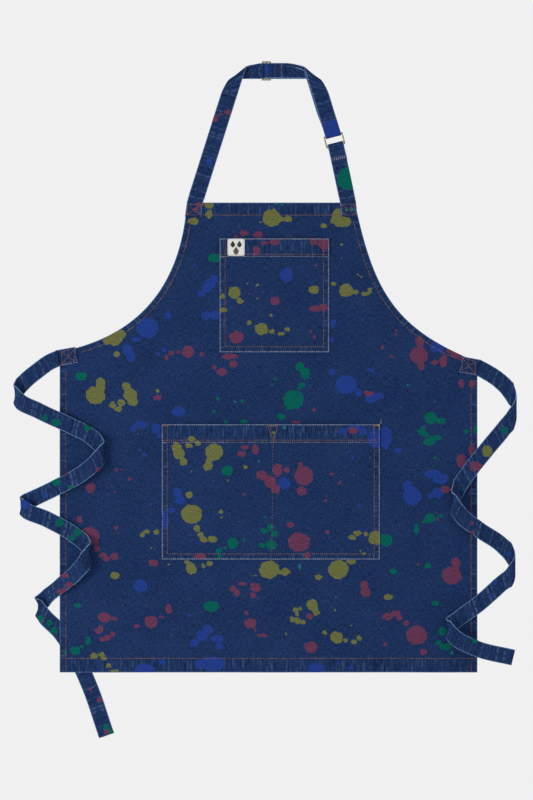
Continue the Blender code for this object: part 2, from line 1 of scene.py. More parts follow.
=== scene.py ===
"""The visible surface of a paint-splashed denim bib apron that hangs from its neck loop.

Metres, +Z up, the front faces -Y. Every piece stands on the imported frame: the panel and pockets
are sewn cloth shells, straps and ties are folded tape, and each stitch is a short thread.
"""

import itertools
import json
import math

import bmesh
import bpy
import numpy as np
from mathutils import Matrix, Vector

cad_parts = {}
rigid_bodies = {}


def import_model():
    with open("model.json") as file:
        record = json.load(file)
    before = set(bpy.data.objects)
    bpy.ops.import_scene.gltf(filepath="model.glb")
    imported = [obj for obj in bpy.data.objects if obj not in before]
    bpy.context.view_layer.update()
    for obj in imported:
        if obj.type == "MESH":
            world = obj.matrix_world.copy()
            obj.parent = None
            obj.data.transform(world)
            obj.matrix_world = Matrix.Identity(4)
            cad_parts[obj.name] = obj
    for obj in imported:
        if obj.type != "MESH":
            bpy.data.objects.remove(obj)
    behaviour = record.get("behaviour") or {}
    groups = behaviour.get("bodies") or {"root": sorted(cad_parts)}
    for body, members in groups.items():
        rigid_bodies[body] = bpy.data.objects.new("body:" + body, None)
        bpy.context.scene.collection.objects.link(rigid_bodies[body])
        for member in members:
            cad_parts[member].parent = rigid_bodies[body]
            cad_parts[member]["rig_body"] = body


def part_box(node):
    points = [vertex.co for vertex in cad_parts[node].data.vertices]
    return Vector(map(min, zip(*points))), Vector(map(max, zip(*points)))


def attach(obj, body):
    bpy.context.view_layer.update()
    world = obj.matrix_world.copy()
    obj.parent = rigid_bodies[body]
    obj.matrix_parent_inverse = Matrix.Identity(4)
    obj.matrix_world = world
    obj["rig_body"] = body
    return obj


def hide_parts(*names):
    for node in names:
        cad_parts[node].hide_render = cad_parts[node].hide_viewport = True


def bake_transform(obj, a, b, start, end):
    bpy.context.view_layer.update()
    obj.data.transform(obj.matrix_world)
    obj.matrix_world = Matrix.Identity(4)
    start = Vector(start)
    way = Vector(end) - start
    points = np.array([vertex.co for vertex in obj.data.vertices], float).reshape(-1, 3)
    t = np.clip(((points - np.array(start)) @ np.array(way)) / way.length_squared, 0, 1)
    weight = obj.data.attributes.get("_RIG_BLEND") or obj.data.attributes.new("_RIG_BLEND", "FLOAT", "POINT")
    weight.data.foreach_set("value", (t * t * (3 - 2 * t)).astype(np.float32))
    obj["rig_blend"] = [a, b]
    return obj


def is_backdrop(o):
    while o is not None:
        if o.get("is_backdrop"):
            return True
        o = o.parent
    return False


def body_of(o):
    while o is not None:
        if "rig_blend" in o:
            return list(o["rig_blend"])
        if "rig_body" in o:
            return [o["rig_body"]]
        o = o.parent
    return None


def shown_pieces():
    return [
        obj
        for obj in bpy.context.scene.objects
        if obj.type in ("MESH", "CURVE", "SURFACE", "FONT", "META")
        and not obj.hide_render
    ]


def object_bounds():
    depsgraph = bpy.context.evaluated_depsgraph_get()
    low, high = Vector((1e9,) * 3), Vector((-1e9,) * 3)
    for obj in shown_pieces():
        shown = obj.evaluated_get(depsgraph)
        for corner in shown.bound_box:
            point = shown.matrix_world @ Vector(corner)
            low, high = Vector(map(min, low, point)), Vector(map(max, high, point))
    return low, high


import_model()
CAD_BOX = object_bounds()

# ---- sizes --------------------------------------------------------------------------------
PANEL_LOW, PANEL_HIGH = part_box("body_panel")
TOP_Z, BOTTOM_Z, HALF_WIDTH = PANEL_HIGH.z, PANEL_LOW.z, PANEL_HIGH.x
FRONT_Y = PANEL_LOW.y
CLOTH = PANEL_HIGH.y - PANEL_LOW.y
HEM_CORNER = 0.004
BIB_LEFT_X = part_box("top_hem")[0].x - HEM_CORNER
BIB_RIGHT_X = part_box("top_hem")[1].x + HEM_CORNER
SHOULDER_LEFT_Z, SHOULDER_RIGHT_Z = -0.458, -0.475
SIDES = (("left", -1, SHOULDER_LEFT_Z), ("right", 1, SHOULDER_RIGHT_Z))
TOP_HEM, BOTTOM_HEM, SIDE_HEM = 0.023, 0.0245, 0.011
GAP = 0.0003
SEWN_IN = 0.0001  # how far a hem's cloth sinks into the cloth that it is sewn to
ROW_INSET = 0.0095  # inner rows of stitches lie this far inside an edge
EDGE_INSET = 0.0014  # the pale outer row runs along a pocket's very edge
POCKET_HEM = 0.029
DIVIDER_X = 0.0075

WEBBING, TAPE_WIDTH = 0.0022, 0.027
STRAP_Y, NECK_Y, NECK_Z = -0.010, 0.0, TAPE_WIDTH / 2
FOLD_RADIUS, LAYER = 0.005, WEBBING + GAP
LEFT_LEAN, RIGHT_LEAN = math.radians(72.4), math.radians(102.3)
RING_LEAN, UPPER_LEAN = math.radians(104.5), math.radians(107.0)
LEFT_FOOT = Vector((-0.1200, STRAP_Y, TOP_Z + 0.011))
RIGHT_FOOT = Vector((0.1309, STRAP_Y, TOP_Z + 0.011))
EASE_RADIUS = 0.080  # the outer edges of the two top corners follow this curve
STRAP_TAB = 0.0235  # how far the sewn strap ends reach down the bib
BAR, RING_WINDOW, RING_PLAY = 0.0024, 0.0165, 0.0012
LOOP_RADIUS = BAR / math.sqrt(2) + GAP + WEBBING / 2
RING_MIDDLE = Vector((0.1105, STRAP_Y + LOOP_RADIUS, -0.1035))
LOOP_TAIL = 0.026
SLIDER_X = -0.0035
STRAP_END_X = 0.0300
LEVEL_ENDS = (-0.016, 0.036)  # across, where the stretch behind the neck lies level
RETURN_WIDTH = TAPE_WIDTH - 0.003
RETURN_ASIDE = -0.0035  # it peeps out along the inner edge of the right leg
TIE_Y = STRAP_Y - WEBBING - 4 * GAP

FRONT = Vector((0.0, -1.0, 0.0))
BACK = Vector((0.0, 1.0, 0.0))
CM = 0.01

# ---- paint --------------------------------------------------------------------------------
# Each splash: centimetres right of the middle, centimetres below the bib's top, radius across,
# and radius down where it isn't round.
PANEL_PAINT = {
    "yellow": [
        (-10.3, 0.45, 0.55, 0.42), (-9.6, 0.45, 0.6, 0.42), (-10.0, 1.9, 0.65, 0.75),
        (-12.6, 3.1, 1.0, 0.6), (0.6, 2.7, 1.6, 1.3), (0.0, 1.7, 0.7, 0.5), (0.9, 1.5, 0.5, 0.5),
        (2.3, 2.8, 0.5, 0.35), (3.3, 2.7, 0.65, 0.6), (-1.5, 3.3, 0.6, 0.1), (9.2, 3.9, 0.6, 0.4),
        (11.6, 1.9, 0.8, 0.9), (12.3, 3.2, 1.6, 0.9), (11.0, 2.9, 0.6, 0.7), (12.2, 7.0, 0.25),
        (10.6, 7.0, 0.15), (12.3, 9.4, 0.18), (15.0, 12.1, 0.22), (15.6, 12.4, 0.22),
        (10.9, 13.6, 0.38), (13.0, 14.7, 1.2, 1.1), (14.6, 15.0, 0.45), (16.2, 15.3, 0.7, 0.4),
        (17.0, 14.7, 0.45), (-25.8, 22.8, 1.3, 1.2), (-26.8, 23.2, 0.9, 0.6),
        (-24.8, 22.1, 0.9, 0.8), (-25.4, 25.4, 0.55), (-28.1, 30.1, 0.8), (-29.0, 32.3, 1.65, 1.5),
        (-28.3, 31.2, 0.9, 0.8), (-28.8, 34.6, 0.1, 0.8), (-23.9, 30.8, 0.7), (-23.2, 32.2, 1.1),
        (-22.7, 33.3, 0.9, 0.8), (-26.2, 33.9, 0.6), (-24.7, 33.6, 0.65), (-25.2, 34.6, 0.65, 0.5),
        (-18.6, 31.6, 0.3), (-21.2, 55.7, 0.5, 0.4), (-20.4, 55.1, 0.5, 0.35), (-18.8, 55.2, 0.45),
        (-19.8, 57.9, 0.15), (-19.0, 58.1, 0.22), (-25.8, 62.5, 0.78, 0.65), (-13.6, 60.3, 0.6, 0.4),
        (-12.9, 61.4, 0.95), (-10.9, 60.9, 0.35), (-9.9, 60.5, 0.55), (-16.7, 60.7, 0.25),
        (-16.8, 62.9, 0.22), (0.1, 61.5, 1.65, 1.5), (2.8, 61.9, 0.8, 0.65), (1.9, 62.0, 0.5, 0.3),
        (-2.3, 62.5, 0.9, 0.08), (-29.3, 76.0, 0.65, 0.5), (-28.0, 75.8, 0.55, 0.45),
        (-27.5, 76.4, 0.5, 0.4), (-26.8, 77.6, 0.5), (-25.9, 78.5, 0.9, 0.25),
        (8.4, 62.8, 0.65, 0.45), (11.7, 61.5, 1.7, 1.6), (13.9, 60.1, 0.9, 0.5),
        (20.1, 66.1, 0.8, 0.52), (7.3, 67.4, 1.0, 0.95), (8.0, 68.7, 0.6, 0.55), (4.5, 68.3, 0.5),
        (5.3, 68.0, 0.4, 0.3), (4.8, 68.9, 0.4), (4.1, 69.9, 0.6, 0.5), (4.9, 70.1, 0.6, 0.55),
        (5.8, 70.3, 0.5, 0.4), (9.4, 72.1, 0.42, 0.35), (11.4, 72.9, 1.1, 1.0), (12.9, 73.4, 0.35),
        (14.3, 73.7, 0.6, 0.4), (15.2, 73.0, 0.55, 0.4), (13.3, 70.5, 0.22), (13.9, 70.8, 0.18),
        (3.0, 72.3, 0.22), (11.3, 66.1, 0.25), (9.6, 65.8, 0.15), (11.1, 68.3, 0.2),
    ],
    "red": [
        (-4.1, 5.1, 0.8, 0.5), (-1.7, 5.4, 0.85, 0.6), (-5.5, 5.7, 0.45, 0.3), (-13.5, 25.0, 1.0),
        (-15.2, 25.1, 0.5, 0.3), (-16.4, 25.2, 0.5, 0.4), (-17.1, 26.0, 0.4), (-11.2, 25.4, 0.35),
        (-6.6, 25.8, 1.45, 0.5), (-5.9, 27.1, 0.75, 0.6), (-7.9, 28.4, 0.95, 0.65),
        (-9.1, 27.6, 0.5, 0.35), (-18.6, 32.7, 0.75, 0.45), (-25.4, 44.8, 0.3), (-24.7, 44.8, 0.2),
        (-23.3, 46.3, 0.35), (-29.8, 47.8, 0.85), (-25.8, 48.5, 0.2), (-25.9, 49.4, 0.2),
        (-31.7, 53.1, 0.55), (-30.1, 55.9, 1.75, 1.5), (-28.8, 58.0, 0.5, 0.6), (-28.9, 56.9, 0.5),
        (-27.8, 59.1, 0.6, 0.5), (-27.1, 59.7, 0.55, 0.5), (-25.8, 59.3, 0.75, 0.6),
        (-25.5, 54.4, 0.35), (-25.1, 55.3, 0.22), (-19.3, 60.4, 0.85, 0.6), (-26.1, 66.0, 0.2),
        (-27.4, 67.0, 0.22), (-24.6, 67.4, 0.16), (-20.5, 67.4, 0.25, 0.18), (-19.8, 67.2, 0.16),
        (-27.5, 69.5, 1.1, 0.85), (-25.9, 69.7, 0.7, 0.35), (-28.4, 71.8, 0.75, 0.5),
        (-28.1, 71.1, 0.35), (-27.8, 73.2, 0.55, 0.45), (-27.0, 72.9, 0.6, 0.5),
        (-26.1, 72.3, 0.5, 0.4), (-19.7, 70.3, 1.15, 1.05), (-22.1, 71.0, 0.45, 0.35),
        (-18.0, 69.5, 0.5, 0.25), (-16.7, 68.4, 0.6, 0.5), (-16.7, 67.7, 0.5, 0.45),
        (-5.9, 64.7, 0.55), (-5.3, 65.4, 0.5, 0.6), (-4.4, 63.9, 0.75, 0.35), (-2.2, 64.5, 0.9, 0.8),
        (-2.6, 65.8, 0.45, 0.55), (-3.7, 68.8, 0.35), (-3.0, 70.5, 1.0, 0.85), (-2.2, 71.7, 0.3),
        (-1.0, 72.5, 1.0, 0.28), (25.3, 23.3, 0.7, 1.0), (25.2, 25.6, 1.5, 1.4),
        (25.6, 27.3, 0.6, 0.8), (27.9, 26.8, 0.55, 0.45), (29.3, 26.5, 0.65, 1.15),
        (30.4, 24.9, 0.6, 0.5), (31.3, 25.6, 0.8, 0.5), (32.3, 26.2, 0.6, 0.4), (19.1, 24.2, 0.35),
        (20.7, 25.8, 0.5, 0.2), (21.3, 22.1, 0.2), (21.4, 21.4, 0.25), (32.3, 30.3, 0.5, 0.7),
        (34.1, 30.4, 0.6), (34.1, 41.5, 0.6, 1.0), (32.3, 43.3, 0.85, 1.2), (16.8, 32.0, 0.95, 0.42),
        (7.6, 34.7, 0.35), (4.7, 36.8, 0.8, 0.25), (29.7, 48.1, 0.9, 0.6), (28.3, 52.1, 0.22),
        (28.4, 53.0, 0.3), (27.7, 58.0, 0.25), (27.4, 58.8, 0.15), (25.0, 60.6, 0.3),
        (31.4, 60.4, 0.8, 0.9), (30.7, 62.5, 1.65, 1.5), (16.0, 64.0, 0.7, 0.65),
        (16.3, 65.2, 0.8, 0.95), (6.8, 69.4, 0.65, 0.5), (7.1, 74.5, 1.05, 1.0),
        (19.9, 69.4, 0.95, 0.58), (21.3, 68.9, 0.8, 0.55), (22.0, 69.6, 0.5), (23.1, 70.5, 0.5),
        (24.8, 72.5, 1.8, 1.6), (19.2, 73.2, 0.25), (19.6, 74.0, 0.35), (25.9, 75.3, 0.6, 0.5),
    ],
    "blue": [
        (-9.2, 12.9, 0.75, 0.8), (-9.9, 13.7, 0.9), (-10.4, 14.4, 0.75), (-11.3, 15.3, 0.6),
        (-10.5, 18.9, 0.8, 0.75), (-9.0, 18.9, 0.9, 0.8), (-12.5, 10.4, 0.25),
        (-16.9, 18.9, 0.55, 0.6), (-20.3, 21.0, 1.8, 1.7), (-22.2, 22.9, 0.8, 0.4),
        (-23.7, 24.7, 0.9, 0.9), (-23.1, 25.8, 0.75, 1.0), (-18.6, 25.4, 0.35), (-17.6, 24.7, 0.35),
        (-15.1, 35.0, 1.15, 0.9), (-21.3, 37.2, 1.15, 0.6), (-22.7, 37.9, 0.65, 0.45),
        (-18.9, 37.8, 0.8, 0.8), (-18.3, 39.0, 0.5, 0.7), (-20.8, 42.2, 0.42), (-21.6, 41.5, 0.25),
        (-19.8, 50.6, 0.3), (-21.5, 64.2, 1.2, 1.05), (-10.2, 71.6, 0.95, 0.8),
        (-11.2, 72.6, 0.95, 0.9), (-12.3, 73.8, 0.75, 0.65), (-8.6, 73.1, 1.2, 0.6),
        (-8.2, 74.4, 0.6), (-9.3, 77.3, 2.0, 1.2), (-11.5, 77.4, 0.9, 0.8), (-17.8, 77.0, 0.65, 0.5),
        (-20.8, 78.4, 1.8, 1.1), (-13.2, 69.1, 0.35, 0.28), (10.7, 28.4, 0.6, 0.6),
        (13.0, 30.5, 1.8, 1.55), (15.1, 31.9, 0.55, 0.65), (17.1, 32.8, 1.0, 0.8),
        (18.5, 32.4, 0.78, 0.6), (17.1, 28.0, 0.55, 0.35), (17.7, 28.6, 0.3), (28.2, 24.2, 1.2, 0.9),
        (29.0, 25.0, 0.4), (19.6, 39.4, 1.0, 2.0), (21.7, 41.6, 0.75, 0.52), (27.5, 45.5, 1.5, 0.75),
        (28.8, 46.3, 1.4, 0.9), (23.2, 47.4, 0.85), (24.1, 49.2, 1.55), (28.4, 48.6, 0.9, 0.9),
        (27.2, 49.1, 0.65, 0.45), (7.9, 78.2, 1.5, 1.0), (13.9, 77.9, 0.45), (11.6, 77.2, 0.25),
        (10.8, 20.3, 0.5, 0.7), (15.6, 19.7, 0.25), (10.6, 22.9, 0.35, 0.6),
    ],
    "green": [
        (-9.0, 9.3, 1.05, 0.75), (-31.4, 29.1, 0.95, 0.75), (4.2, 33.0, 1.7, 1.55),
        (3.6, 33.7, 1.0, 1.1), (5.6, 30.6, 0.55, 0.5), (5.1, 31.2, 0.35), (5.3, 27.5, 0.75, 0.8),
        (6.2, 28.6, 0.72, 1.0), (2.2, 35.9, 0.65, 0.5), (-8.5, 32.9, 0.32), (-4.4, 33.3, 0.32),
        (-9.2, 35.0, 0.35), (-7.2, 36.7, 0.4, 0.3), (-4.1, 36.7, 0.75, 0.35), (1.1, 29.6, 0.3),
        (0.6, 30.5, 0.3), (27.2, 36.1, 1.1, 1.05), (28.9, 36.6, 0.8, 0.5), (25.9, 37.8, 0.4),
        (25.7, 38.5, 0.8, 0.45), (26.4, 38.9, 0.5, 0.35), (28.3, 39.4, 0.8, 0.45),
        (26.9, 40.1, 1.1, 0.65), (27.6, 39.6, 0.6, 0.5), (29.4, 32.5, 0.25), (27.9, 42.8, 0.25),
        (33.1, 38.4, 0.4), (34.8, 38.0, 0.5, 0.8), (-32.0, 67.5, 0.6, 0.42), (-9.6, 67.7, 1.3, 0.9),
        (-30.2, 73.4, 0.42, 0.75), (-32.4, 75.1, 0.9, 0.7), (-31.3, 74.4, 0.4, 0.2),
        (-34.2, 75.5, 0.35), (19.7, 56.6, 1.15, 1.05), (27.0, 52.9, 0.95, 0.8), (28.9, 52.5, 0.3),
        (25.8, 53.6, 0.4, 0.2), (24.8, 54.6, 0.45, 0.85), (26.7, 60.9, 0.6, 0.5),
        (21.0, 61.8, 0.65, 0.45), (27.9, 67.1, 0.6, 0.52), (29.2, 71.9, 0.75, 0.7),
        (28.5, 73.8, 0.6, 0.4), (29.6, 74.5, 1.05, 0.5), (30.2, 74.0, 0.5, 0.4),
    ],
    "teal": [
        (1.3, 0.2, 0.35, 0.25), (2.2, 0.3, 0.3, 0.2), (3.2, 0.1, 0.3, 0.2), (5.9, 1.7, 0.22),
        (12.8, 1.3, 0.35, 0.28), (14.1, 1.2, 0.45, 0.35), (-5.6, 33.4, 0.2), (28.0, 33.5, 0.2),
        (23.3, 30.5, 0.2), (22.0, 34.4, 0.3, 0.15), (5.3, 61.0, 0.25, 0.5), (30.7, 75.5, 0.2, 0.4),
    ],
}
BIB_POCKET_PAINT = {
    "yellow": [
        (-5.7, 15.1, 1.05, 1.0), (-4.8, 16.5, 0.6, 0.45), (-7.7, 15.7, 0.42), (-7.5, 18.0, 0.75, 0.4),
        (-1.2, 21.2, 1.15, 1.05), (-3.2, 20.1, 0.38), (0.4, 18.9, 0.3, 0.25), (1.4, 19.2, 0.18),
        (7.6, 14.6, 0.9, 0.7), (0.6, 21.6, 0.45, 0.4), (2.1, 22.0, 0.65, 0.35), (3.1, 21.3, 0.5, 0.35),
        (-1.9, 13.8, 0.28), (-3.6, 13.6, 0.2, 0.15), (-3.3, 15.3, 0.12), (-1.9, 16.1, 0.16),
    ],
    "red": [
        (1.0, 6.7, 0.95, 0.5), (7.6, 6.6, 0.65, 0.6), (9.2, 6.8, 1.0, 0.8), (9.3, 7.6, 0.7, 0.5),
        (-0.7, 6.8, 0.6, 0.32), (-2.0, 7.9, 0.6, 0.6), (-2.1, 8.6, 0.6, 0.35), (-5.4, 22.6, 1.2, 1.05),
        (1.0, 16.5, 0.85, 0.7), (7.7, 17.8, 1.0, 0.55), (9.2, 17.6, 0.75, 0.65), (7.9, 10.6, 0.25),
        (7.1, 21.6, 0.3), (7.7, 22.4, 0.35),
    ],
    "blue": [(3.0, 12.3, 1.05, 1.1), (3.3, 11.5, 0.65, 0.6), (-6.4, 17.6, 0.3, 0.2)],
    "green": [(-2.2, 14.0, 0.12)],
}
WAIST_POCKET_PAINT = {
    "yellow": [
        (-12.9, 39.6, 0.65, 0.45), (-13.3, 40.7, 0.6, 0.45), (-11.8, 40.3, 0.6, 0.4),
        (-15.4, 41.0, 0.85, 0.8), (-15.0, 42.1, 1.0, 0.95), (-14.2, 43.4, 0.65, 0.7),
        (-9.1, 41.8, 1.5, 1.45), (-10.0, 43.3, 0.5, 0.6), (-10.1, 44.2, 0.78, 0.7),
        (-13.0, 45.0, 0.1, 0.35), (-3.8, 44.3, 0.35), (-6.8, 46.7, 0.25), (-13.3, 49.0, 0.58, 0.55),
        (-12.9, 52.2, 1.75, 1.6), (-12.0, 54.6, 0.5, 0.6), (-11.4, 55.7, 0.5, 0.45),
        (-10.9, 56.5, 0.65, 0.5), (-9.4, 56.4, 0.75, 0.6), (-8.0, 51.8, 0.4, 0.35),
        (-7.8, 52.7, 0.3, 0.2), (17.9, 56.2, 1.15, 1.2), (16.3, 55.6, 0.35), (14.9, 55.4, 0.75, 0.4),
        (14.0, 56.1, 0.65, 0.4), (16.0, 58.8, 0.28), (15.4, 58.4, 0.15), (0.9, 38.6, 0.3, 0.2),
        (0.9, 39.3, 0.2, 0.25),
    ],
    "red": [
        (14.2, 38.2, 0.95, 0.52), (-2.2, 41.3, 0.6, 0.85), (-3.9, 41.0, 0.65, 0.4),
        (-4.5, 42.1, 0.75, 0.55), (-1.1, 45.7, 1.0, 0.8), (0.3, 46.8, 1.0, 1.0), (1.2, 48.0, 0.8, 0.8),
        (1.5, 44.8, 0.8, 1.1), (3.0, 44.8, 0.55, 0.5), (5.9, 45.8, 1.55, 1.6), (5.3, 43.9, 0.4, 0.5),
        (5.6, 48.3, 0.85, 0.75), (11.9, 46.9, 0.35), (9.7, 49.1, 0.16), (9.5, 50.0, 0.22),
        (10.4, 45.5, 0.45, 0.2), (-4.1, 48.9, 0.35, 0.28), (3.7, 54.0, 0.6, 0.5), (9.8, 55.3, 0.4),
        (10.2, 56.2, 0.25), (5.1, 56.9, 1.85, 1.6), (6.5, 59.1, 0.6, 0.5), (-11.5, 59.3, 1.1, 0.5),
    ],
    "blue": [
        (18.2, 39.6, 1.6, 1.55), (12.3, 38.4, 0.7, 0.55), (14.2, 37.7, 1.1, 0.6),
        (15.9, 38.3, 0.75, 0.6), (2.6, 47.1, 1.05, 1.0), (-15.3, 48.7, 0.7, 0.95),
        (-14.8, 49.9, 0.8, 0.75), (-17.4, 53.2, 0.75, 1.6), (-16.3, 51.6, 0.7, 0.5),
        (14.1, 42.7, 0.35), (13.4, 41.8, 0.3), (15.2, 50.9, 0.4, 0.35),
    ],
    "green": [
        (-6.9, 44.9, 0.95, 0.85), (-6.0, 57.1, 0.95, 0.9), (-4.2, 56.5, 0.3), (-8.3, 58.4, 0.5),
        (-8.2, 59.3, 0.4, 0.5), (-7.3, 57.9, 0.4, 0.3), (-0.7, 55.0, 0.7, 0.4), (0.3, 54.4, 0.6, 0.6),
        (1.0, 55.5, 0.6, 0.55), (-1.1, 57.4, 0.5, 0.4), (0.5, 57.4, 0.9, 0.8), (-0.6, 52.7, 0.22),
    ],
    "teal": [(2.7, 37.7, 0.35, 0.4), (-1.6, 43.4, 0.2)],
}
TAPE_PAINT = {
    "yellow": [(-34.7, 29.9, 0.35), (36.5, 41.6, 0.85, 1.0)],
    "red": [
        (-11.7, 0.4, 0.55, 0.45), (-12.2, 1.2, 0.5, 0.4), (-34.4, 31.5, 0.9, 0.6),
        (-34.3, 32.5, 0.9, 0.5), (-9.1, -14.1, 0.7), (-6.8, -15.1, 0.55), (-8.0, -14.8, 0.35),
        (-3.1, -21.3, 0.35), (-34.3, 43.5, 0.7, 1.2), (-33.0, 44.3, 0.5, 0.4), (-34.3, 45.2, 0.9, 0.5),
        (-28.4, 45.4, 0.6, 1.1), (-33.6, 58.0, 0.45), (-34.0, 62.4, 0.7, 0.5), (-33.3, 64.0, 0.9, 0.45),
        (-34.6, 65.1, 0.9, 0.5), (-31.6, 79.6, 0.3), (-30.0, 81.6, 0.4), (-28.4, 83.4, 0.5),
        (-27.2, 88.8, 0.5), (34.6, 44.2, 1.2, 0.8), (33.8, 51.0, 1.0, 0.7), (33.8, 55.3, 0.45),
        (34.0, 53.7, 0.35),
    ],
    "blue": [
        (-10.0, -6.7, 0.55, 0.75), (-0.3, -22.3, 0.4, 0.8), (11.2, -12.4, 1.5, 1.6),
        (10.4, -12.3, 1.6, 1.5), (-40.7, 50.4, 0.8), (-39.7, 48.2, 0.5), (-37.5, 49.0, 0.5),
        (40.0, 58.8, 0.5), (37.2, 65.8, 0.5), (37.7, 63.6, 0.5),
    ],
    "green": [
        (13.2, -4.0, 1.7, 1.9), (-37.5, 36.1, 0.55), (-35.5, 36.9, 0.7), (-30.3, 37.7, 0.7, 0.5),
        (-33.0, 40.9, 1.3, 1.0), (-35.5, 46.7, 0.8), (-33.2, 47.6, 0.6, 0.35), (-35.0, 53.6, 0.7),
        (-32.0, 55.2, 0.8, 0.6), (-32.9, 56.2, 0.5), (-34.5, 56.9, 0.5), (-38.3, 69.7, 0.55),
        (-36.7, 70.5, 0.55), (-36.0, 71.7, 0.65), (-27.1, 88.1, 0.6), (-26.2, 89.0, 0.6),
        (39.5, 38.1, 0.6), (34.5, 73.2, 0.5),
    ],
    "teal": [(12.8, 1.3, 0.35, 0.28), (14.1, 1.2, 0.45, 0.35)],
}
PAINTS = {
    "blue": (0.0120, 0.035, 0.195),
    "green": (0.0004, 0.088, 0.066),
    "red": (0.105, 0.029, 0.064),
    "yellow": (0.112, 0.122, 0.036),
    "teal": (0.008, 0.130, 0.140),
}
UNPAINTED = -0.004  # the depth given to what lies outside every splash
FAR = 9.0  # metres, past every edge


# ---- looks --------------------------------------------------------------------------------
class Look:
    """A material under construction, with short calls for the nodes that cloth looks are made of."""

    def __init__(self, name, roughness, metallic=0.0, specular=0.3):
        self.made = bpy.data.materials.new(name)
        self.made.use_nodes = True
        self.tree = self.made.node_tree
        self.shader = self.tree.nodes["Principled BSDF"]
        self.shader.inputs["Roughness"].default_value = roughness
        self.shader.inputs["Metallic"].default_value = metallic
        self.shader.inputs["Specular IOR Level"].default_value = specular

    def put(self, socket, value):
        if isinstance(value, bpy.types.NodeSocket):
            self.tree.links.new(value, socket)
        elif isinstance(value, tuple) and len(value) == 3 and socket.type == "RGBA":
            socket.default_value = (*value, 1.0)
        else:
            socket.default_value = value

    def add(self, kind, inputs, **settings):
        node = self.tree.nodes.new(kind)
        for key, value in settings.items():
            setattr(node, key, value)
        for key, value in inputs.items():
            self.put(node.inputs[key], value)
        return node

    def number(self, name):
        return self.add("ShaderNodeAttribute", {}, attribute_name=name).outputs["Fac"]

    def vector(self, name):
        return self.add("ShaderNodeAttribute", {}, attribute_name=name).outputs["Vector"]

    def scaled(self, place, factors):
        node = self.add("ShaderNodeVectorMath", {0: place, 1: factors}, operation="MULTIPLY")
        return node.outputs["Vector"]

    def joined(self, x, y):
        return self.add("ShaderNodeCombineXYZ", {"X": x, "Y": y}).outputs["Vector"]

    def noise(self, place, scale, detail=2.0):
        inputs = {"Vector": place, "Scale": scale, "Detail": detail}
        return self.add("ShaderNodeTexNoise", inputs).outputs[0]

    def cells(self, place, scale):
        """Scattered cells: the distance from each one's middle, and its random numbers."""
        node = self.add("ShaderNodeTexVoronoi", {"Vector": place, "Scale": scale})
        random = self.add("ShaderNodeSeparateColor", {0: node.outputs["Color"]})
        return node.outputs["Distance"], random.outputs

    def ridges(self, place, direction):
        """Waves from 0 to 1; the direction's length is their radians per metre."""
        node = self.add("ShaderNodeVectorMath", {0: place, 1: direction}, operation="DOT_PRODUCT")
        return self.step(self.maths("SINE", node.outputs["Value"]), -1.0, 1.0)

    def maths(self, operation, a, b=0.0):
        return self.add("ShaderNodeMath", {0: a, 1: b}, operation=operation).outputs[0]

    def plus(self, a, b):
        return self.maths("ADD", a, b)

    def times(self, a, b):
        return self.maths("MULTIPLY", a, b)

    def step(self, value, low, high, start=0.0, end=1.0):
        """A soft step of a value from start at low to end at high."""
        inputs = {"Value": value, "From Min": low, "From Max": high, "To Min": start, "To Max": end}
        kind = "SMOOTHSTEP"
        return self.add("ShaderNodeMapRange", inputs, interpolation_type=kind).outputs[0]

    def mix(self, share, a, b, blend="MIX"):
        node = self.add("ShaderNodeMix", {}, data_type="RGBA", blend_type=blend)
        for index, value in ((0, share), (6, a), (7, b)):
            self.put(node.inputs[index], value)
        return node.outputs[2]

    def colour(self, value):
        self.put(self.shader.inputs["Base Color"], value)

    def bump(self, height, distance, strength=1.0):
        inputs = {"Height": height, "Distance": distance, "Strength": strength}
        self.put(self.shader.inputs["Normal"], self.add("ShaderNodeBump", inputs).outputs[0])


def hems_washed_and_shaded(look, cloth, dark, pale, ladder_share, rim_share):
    """Ladder marks on a puckered hem, and its worn rim: the crests are painted pale, partly wash wear and
    partly painted highlight, and the valleys get painted shade.
    """
    edge, along = look.number("edge"), look.number("along")
    within = look.step(look.number("hem"), 1.25, 0.9)
    place = look.joined(look.times(along, 260.0), look.times(edge, 42.0))
    ladder = look.noise(place, 1.0, 3.0)
    # crests: pale wash wear plus a painted highlight; valleys: painted shade, darker than the darkest dye
    crest_fade_and_highlight = look.times(look.step(ladder, 0.52, 0.68), within)
    valley_painted_shade = look.times(look.step(ladder, 0.46, 0.32), within)
    cloth = look.mix(look.times(valley_painted_shade, 0.55), cloth, tuple(0.45 * c for c in dark))
    cloth = look.mix(look.times(crest_fade_and_highlight, ladder_share), cloth, pale)
    wear = look.noise(look.joined(look.times(along, 420.0), 0.0), 1.0, 2.0)
    rim = look.times(look.step(edge, 0.0016, 0.0005), look.step(wear, 0.30, 0.60))
    cloth = look.mix(look.times(rim, rim_share), cloth, tuple(1.9 * c for c in pale))
    return cloth, look.times(ladder, within)


def sprayed(look, weave, cloth):
    """Tiny pale flecks, and fine drops of three paints that gather in clouds."""
    distance, random = look.cells(weave, 55.0)
    fleck = look.times(look.step(distance, 0.055, 0.030), look.step(random[0], 0.80, 0.82))
    cloth = look.mix(look.times(fleck, 0.45), cloth, (0.10, 0.20, 0.23))
    distance, random = look.cells(weave, 105.0)
    cloud = look.step(look.noise(weave, 16.0, 1.0), 0.50, 0.60)
    chosen = look.times(look.step(random[0], 0.80, 0.81), cloud)
    tint = look.mix(look.step(random[1], 0.50, 0.51), PAINTS["yellow"], PAINTS["green"])
    tint = look.mix(look.step(random[1], 0.78, 0.79), tint, PAINTS["red"])
    drop = look.times(look.step(distance, 0.11, 0.07), chosen)
    return look.mix(look.times(drop, 0.8), cloth, tint)


